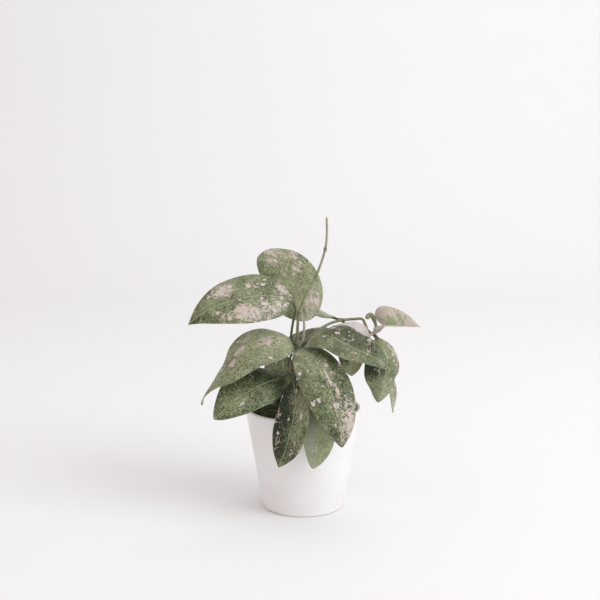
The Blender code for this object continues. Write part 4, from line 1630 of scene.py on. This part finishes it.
# Painted shade: dark greens areas stand for shadows, such as leaf_right's on leaf_right_drop and the shaded
# halves of leaf_front_low and leaf_back_left. Painted light: light greens areas and high tones, such as
# leaf_small_right's, stand for light.
LEAVES = (
    Leaf("leaf_upper_left", "vine_main", joint=6,
         path=((-12, -8, 178), (-10, -10, 197), (-8, -14, 209), (-13, -17, 218), (-45, -30, 224.5),
               (-78, -40, 218.7), (-98, -44, 210), (-113, -44, 198)),
         stalk=46, width=55, face=(0.0, -0.8, 0.6), tip_face=(-0.2, -0.8, 0.5), widest=0.41, point=1.05,
         lobe=0.15, seed=1, tone_and_painted_light=-0.04, fleck=0.06,
         blotches=(Blotch(0.2, -0.45, 0.2, 0.45, 0.58), Blotch(0.45, -0.65, 0.26, 0.35),
                   Blotch(0.1, 0.4, 0.08, 0.45), Blotch(0.62, 0.62, 0.15, 0.35),
                   Blotch(0.35, 0.5, 0.08, 0.2, 0.5)),
         greens_and_painted_shade=(Blotch(0.97, -0.2, 0.14, 0.8, -0.3), Blotch(0.88, 0.4, 0.12, 0.5, 0.2))),
    Leaf("leaf_upper_back", "vine_right", joint=5,
         path=((0, 1, 175), (1, 6, 191), (-2.3, 14, 208), (-8.2, 22, 225), (-18.2, 30, 240),
               (-32.5, 35, 249.3), (-48, 36, 256.5)),
         stalk=20.5, width=57.5, face=(0.1, -0.9, 0.45), tip_face=(-0.3, -0.85, 0.5), widest=0.47,
         point=0.6, curl=0.15, lobe=0.08, seed=2, tone_and_painted_light=0.22, pink_stalk=0.85, fleck=0.1,
         # Painted sheen: its broad blotches over the upper band are splash and also a pinkish sheen.
         blotches=(Blotch(0.2, 0.6, 0.16, 0.36), Blotch(0.8, 0.75, 0.28, 0.3, 0.55),
                   Blotch(0.58, 0.38, 0.1, 0.12), Blotch(0.82, 0.1, 0.16, 0.5, 0.45)),
         greens_and_painted_shade=(Blotch(0.85, -0.7, 0.2, 0.5, -0.35), Blotch(0.1, 0.2, 0.15, 0.6, 0.2))),
    Leaf("leaf_left", "vine_main", joint=6,
         path=((-13, -18, 177), (-26, -30, 181), (-41, -40, 179.5), (-56.5, -50, 172.5),
               (-67, -56, 163.5), (-75.5, -58, 154), (-84.5, -58, 145), (-93, -57, 135),
               (-98, -55, 127), (-100, -52, 119)),
         stalk=6, width=54, face=(0.0, -0.62, 0.79), tip_face=(-1.0, 0.0, -0.1), widest=0.38, point=2.1,
         curl=0.2, lobe=0.32, turn=1.6, seed=3, tone_and_painted_light=0.2,
         blotches=(Blotch(0.24, -0.05, 0.16, 0.3), Blotch(0.36, 0.55, 0.05, 0.15),
                   Blotch(0.46, 0.25, 0.06, 0.2), Blotch(0.6, 0.0, 0.06, 0.2))),
    Leaf("leaf_low_left", "vine_main", joint=5,
         path=((-18, -24, 142), (-41, -46, 138), (-65, -62, 127.3), (-87, -68, 109)),
         stalk=17, width=49, face=(-0.1, -0.75, 0.65), tip_face=(-0.3, -0.85, 0.45), widest=0.42,
         point=0.8, curl=0.15, skew=0.16, lobe=0.12, seed=4, tone_and_painted_light=-0.05, fleck=0.0,
         greens_and_painted_shade=(Blotch(0.15, 0.1, 0.3, 1.0, -0.5), Blotch(0.72, -0.1, 0.2, 0.5, 0.25),
                 Blotch(0.35, 0.9, 0.3, 0.3, -0.3))),
    Leaf("leaf_front", "vine_main", joint=6,
         path=((-3, -24, 170), (8, -43, 166), (19, -62, 152), (29, -78, 131), (35, -86, 109),
               (37, -86, 86)),
         stalk=9, width=49, face=(0.1, -0.6, 0.8), tip_face=(0.2, -0.97, 0.0), widest=0.49, point=0.85,
         skew=0.05, lobe=0.2, seed=5, wave=0.3, buckle=0.15, fleck=0.12,
         blotches=(Blotch(0.8, -0.6, 0.16, 0.42, 0.7), Blotch(0.9, -0.1, 0.1, 0.4, 0.65),
                   Blotch(0.45, -0.12, 0.12, 0.1), Blotch(0.08, 0.5, 0.04, 0.25),
                   Blotch(0.6, -0.25, 0.1, 0.12)),
         greens_and_painted_shade=(Blotch(0.06, -0.8, 0.16, 0.6, -0.4), Blotch(0.95, 0.8, 0.3, 0.4, -0.2),
                 Blotch(0.5, -0.75, 0.25, 0.35, -0.3), Blotch(0.5, 0.7, 0.3, 0.3, -0.2)),
         sheens=(Blotch(0.92, 0.6, 0.16, 0.4, 0.25),)),
    Leaf("leaf_front_low", "vine_low", joint=5,
         path=((-12, -37, 144), (-8, -56, 133), (-9, -72, 113), (-15, -77, 88), (-24, -76, 63)),
         stalk=12, width=35, face=(-0.3, -0.8, 0.5), tip_face=(-0.4, -0.9, 0.0), widest=0.6, fold=0.25,
         curl=0.0, seed=6, tone_and_painted_light=-0.16, fleck=0.12,
         greens_and_painted_shade=(Blotch(0.35, 0.85, 0.45, 0.6, -1.2), Blotch(0.05, 0.0, 0.16, 1.5, -0.3),
                 Blotch(0.6, -0.35, 0.35, 0.3, 0.25), Blotch(0.9, 0.0, 0.2, 1.0, -0.3))),
    Leaf("leaf_centre_low", "vine_low", joint=6,
         path=((-5, -35, 153), (4, -43, 143), (12, -56, 126), (15, -70, 104), (14, -73, 82),
               (9, -70, 60)),
         stalk=24, width=34, face=(0.1, -0.9, 0.4), tip_face=(0.0, -1.0, 0.0), widest=0.5, point=0.72,
         seed=7, tone_and_painted_light=0.55, fleck=0.05,
         sheens=(Blotch(0.6, 0.4, 0.4, 0.35, 0.45),),
         greens_and_painted_shade=(Blotch(0.2, 0.5, 0.2, 1.0, -0.3),)),
    Leaf("leaf_right", "vine_right", joint=5,
         path=((7, -10, 178), (18, -24, 184), (32, -38, 183), (49, -50, 176), (64, -56, 171),
               (77, -57, 163), (85, -54, 154)),
         stalk=9, width=42, face=(0.0, -0.5, 0.87), tip_face=(0.5, -0.75, 0.3), widest=0.38, fold=0.1,
         skew=-0.12, lobe=0.2, seed=8, fleck=0.14, tone_and_painted_light=-0.12,
         greens_and_painted_shade=(Blotch(0.45, -0.65, 0.45, 0.5, -0.5), Blotch(0.25, 0.4, 0.2, 0.4, 0.1)),
         blotches=(Blotch(0.1, -0.3, 0.05, 0.2), Blotch(0.25, 0.2, 0.04, 0.12))),
    Leaf("leaf_right_drop", "vine_right", joint=13,
         path=((76, 4, 176), (83, -4, 165), (86, -9, 152), (84, -10, 138), (82, -8, 124),
               (77, -6, 110)),
         stalk=5, width=40, face=(0.4, -0.8, 0.4), tip_face=(0.3, -0.95, 0.0), widest=0.4, point=0.75,
         fold=-0.35, skew=0.1, seed=9, fleck=0.06, tone_and_painted_light=0.1,
         blotches=(Blotch(0.35, -0.8, 0.3, 0.25),),
         greens_and_painted_shade=(Blotch(0.5, 0.8, 0.12, 0.65, -1.4), Blotch(0.08, -0.2, 0.14, 1.0, 0.35),
                 Blotch(0.75, 0.2, 0.2, 0.5, 0.2))),
    Leaf("leaf_back_right", "vine_right", joint=13,
         path=((76, 18, 176), (82, 36, 164), (89, 50, 138), (99, 56, 107), (98, 52, 84)),
         stalk=14, width=34, face=(0.4, -0.2, 0.9), tip_face=(0.9, -0.45, 0.0), seed=10, tone_and_painted_light=0.25,
         blotches=(Blotch(0.6, 0.2, 0.4, 0.6, 0.5),)),
    Leaf("leaf_young", "vine_right", joint=13,
         path=((78, 3, 184), (83, -3, 190), (95, -4, 190), (108, -4, 189.5), (120, -3, 189)),
         stalk=12, width=30, face=(0.0, -0.53, 0.85), tip_face=(0.0, -0.53, 0.85), widest=0.2,
         point=1.2, fold=0.95, curl=0.0, lobe=1.1, stalk_radius=1.7, age=LeafAge.YOUNG, seed=11,
         wave=0.3,
         blotches=(Blotch(0.2, 0.0, 0.14, 0.6, 0.8), Blotch(0.5, 0.35, 0.14, 0.4, 0.8),
                   Blotch(0.5, -0.35, 0.14, 0.4, 0.8))),
    Leaf("leaf_young_pale", "vine_right", joint=13,
         path=((68, 0, 179), (59, -6, 183), (45, -9, 186.5), (29, -6, 190.5)),
         stalk=6, width=22, face=(0.0, -0.9, 0.45), tip_face=(0.0, -0.9, 0.45), point=1.2,
         age=LeafAge.UNFURLING, seed=12, wave=0.5),
    Leaf("leaf_small_right", "vine_right", joint=8,
         path=((43, 11, 187), (47, 10, 178), (50, 8, 166), (50.5, 5, 152), (50, 3, 136)),
         stalk=12, width=27, face=(0.1, -0.95, 0.3), tip_face=(0.0, -1.0, 0.1), widest=0.5, point=0.75,
         skew=0.05, seed=13, wave=0.4, tone_and_painted_light=1.1, fleck=0.04,
         greens_and_painted_shade=(Blotch(0.62, 0.8, 0.16, 0.7, -1.4), Blotch(0.2, 0.0, 0.3, 1.2, -1.0))),
    Leaf("leaf_back_centre", "vine_right", joint=5,
         path=((-1, 10, 174), (3, 30, 179), (5, 55, 173), (5, 80, 148), (4, 92, 118)),
         stalk=12, width=44, face=(-0.25, 0.1, 1.0), tip_face=(0.0, 1.0, 0.1), seed=14, tone_and_painted_light=-0.3,
         blotches=(Blotch(0.5, 0.4, 0.2, 0.4), Blotch(0.25, -0.5, 0.12, 0.3))),
    Leaf("leaf_back_left", "vine_main", joint=5,
         path=((-15, -2, 151), (-12, 3, 160), (-14, 8, 163), (-19, 11, 156), (-23, 13, 142),
               (-28, 18, 124), (-29, 24, 102)),
         stalk=34, width=38, face=(-0.2, -0.9, 0.3), tip_face=(-0.2, -0.9, 0.3), point=0.6, seed=15,
         tone_and_painted_light=0.1, fleck=0.0,
         greens_and_painted_shade=(Blotch(1.0, 0.0, 0.4, 2.0, -0.5),)),
    Leaf("leaf_back_upper", "vine_right", joint=8,
         path=((34, 18, 194), (22, 33, 196), (6, 44, 200), (-12, 50, 200), (-32, 54, 195)),
         stalk=12, width=26, face=(0.1, 0.05, 1.0), tip_face=(-0.3, 0.0, 0.95), seed=16, tone_and_painted_light=0.3,
         blotches=(Blotch(0.4, 0.0, 0.4, 0.8),)),
)


@dataclass(frozen=True)
class AreaLight:
    """A square light, in metres and watts, its colour as sRGB hex. aim is what it faces."""

    name: str
    place: Point
    size: float
    watts: float
    colour: str
    aim: Point = (0.0, 0.0, 0.13)

    def build(self) -> None:
        """Add the light to the scene."""
        data = bpy.data.lights.new(self.name, "AREA")
        data.shape = "SQUARE"
        data.size = self.size
        data.energy = self.watts
        data.color = srgb(self.colour)[:3]
        lamp = bpy.data.objects.new(self.name, data)
        lamp.location = self.place
        facing = Vector(self.aim) - Vector(self.place)
        lamp.rotation_euler = facing.to_track_quat("-Z", "Y").to_euler()
        bpy.context.scene.collection.objects.link(lamp)


@dataclass
class Studio:
    """The floor and wall, the lights and the camera, in metres."""

    half_width: float = 3.0
    front: float = -1.6
    back: float = 1.5
    sweep_radius: float = 0.7
    sweep_steps: int = 24
    wall_top: float = 2.6
    camera_at: Point = (-0.0033, -1.011, 0.3642)
    camera_down: float = 8.33
    camera_lens: float = 60.0
    camera_sensor: float = 36.0
    lights: tuple[AreaLight, ...] = (
        AreaLight("window_light", (2.2, -1.3, 1.62), size=1.9, watts=46.0, colour="#EFFAFF"),
        AreaLight("overhead_light", (0.2, -0.2, 2.2), size=1.6, watts=6.0, colour="#F0F9FF"),
        AreaLight("wall_wash", (0.6, 1.0, 2.4), size=1.0, watts=5.0, colour="#F0FAFF",
                  aim=(0.1, 2.2, 1.3)))
    world_colour: str = "#FFF5F2"
    world_strength: float = 0.7

    def build(self) -> None:
        """Build the sweep, the lights, the world and the camera."""
        self._sweep()
        for light in self.lights:
            light.build()
        world = bpy.context.scene.world or bpy.data.worlds.new("soft_room")
        bpy.context.scene.world = world
        world.use_nodes = True
        sky = world.node_tree.nodes["Background"]
        sky.inputs["Color"].default_value = srgb(self.world_colour)
        sky.inputs["Strength"].default_value = self.world_strength
        bpy.context.scene.view_settings.view_transform = "Standard"
        self._camera()

    def _sweep(self) -> None:
        """Build the floor that sweeps up into a wall."""
        profile = [(self.front, 0.0)] + arc((self.back, self.sweep_radius), self.sweep_radius,
                                            -90, 0, self.sweep_steps)
        profile.append((self.back + self.sweep_radius, self.wall_top))
        verts = [(side * self.half_width / MM, y / MM, z / MM) for y, z in profile for side in (-1, 1)]
        faces = [(2 * k, 2 * k + 1, 2 * k + 3, 2 * k + 2) for k in range(len(profile) - 1)]
        sweep = mesh_object("studio_sweep", np.array(verts), faces)
        sweep.data.shade_smooth()
        sweep.data.materials.append(PaperSweep().make())

    def _camera(self) -> None:
        """Add the camera at the photograph's viewing angle."""
        data = bpy.data.cameras.new("camera")
        data.lens = self.camera_lens
        data.sensor_width = self.camera_sensor
        view = bpy.data.objects.new("camera", data)
        view.location = self.camera_at
        view.rotation_euler = (math.radians(90 - self.camera_down), 0.0, 0.0)
        bpy.context.scene.collection.objects.link(view)
        bpy.context.scene.camera = view


def main() -> None:
    """Build the pieces in order."""
    logging.basicConfig(level=logging.INFO, format="%(name)s %(message)s")
    Studio().build()
    turning = turning_tree()
    pot = Pot()
    settle(pot.build(turning), "pot")
    settle(PottingMix(pot).build(turning, crumb_tree()), "potting_mix")
    Plant(VINES, LEAVES).build(stem_tree())


if __name__ == "__main__":
    main()
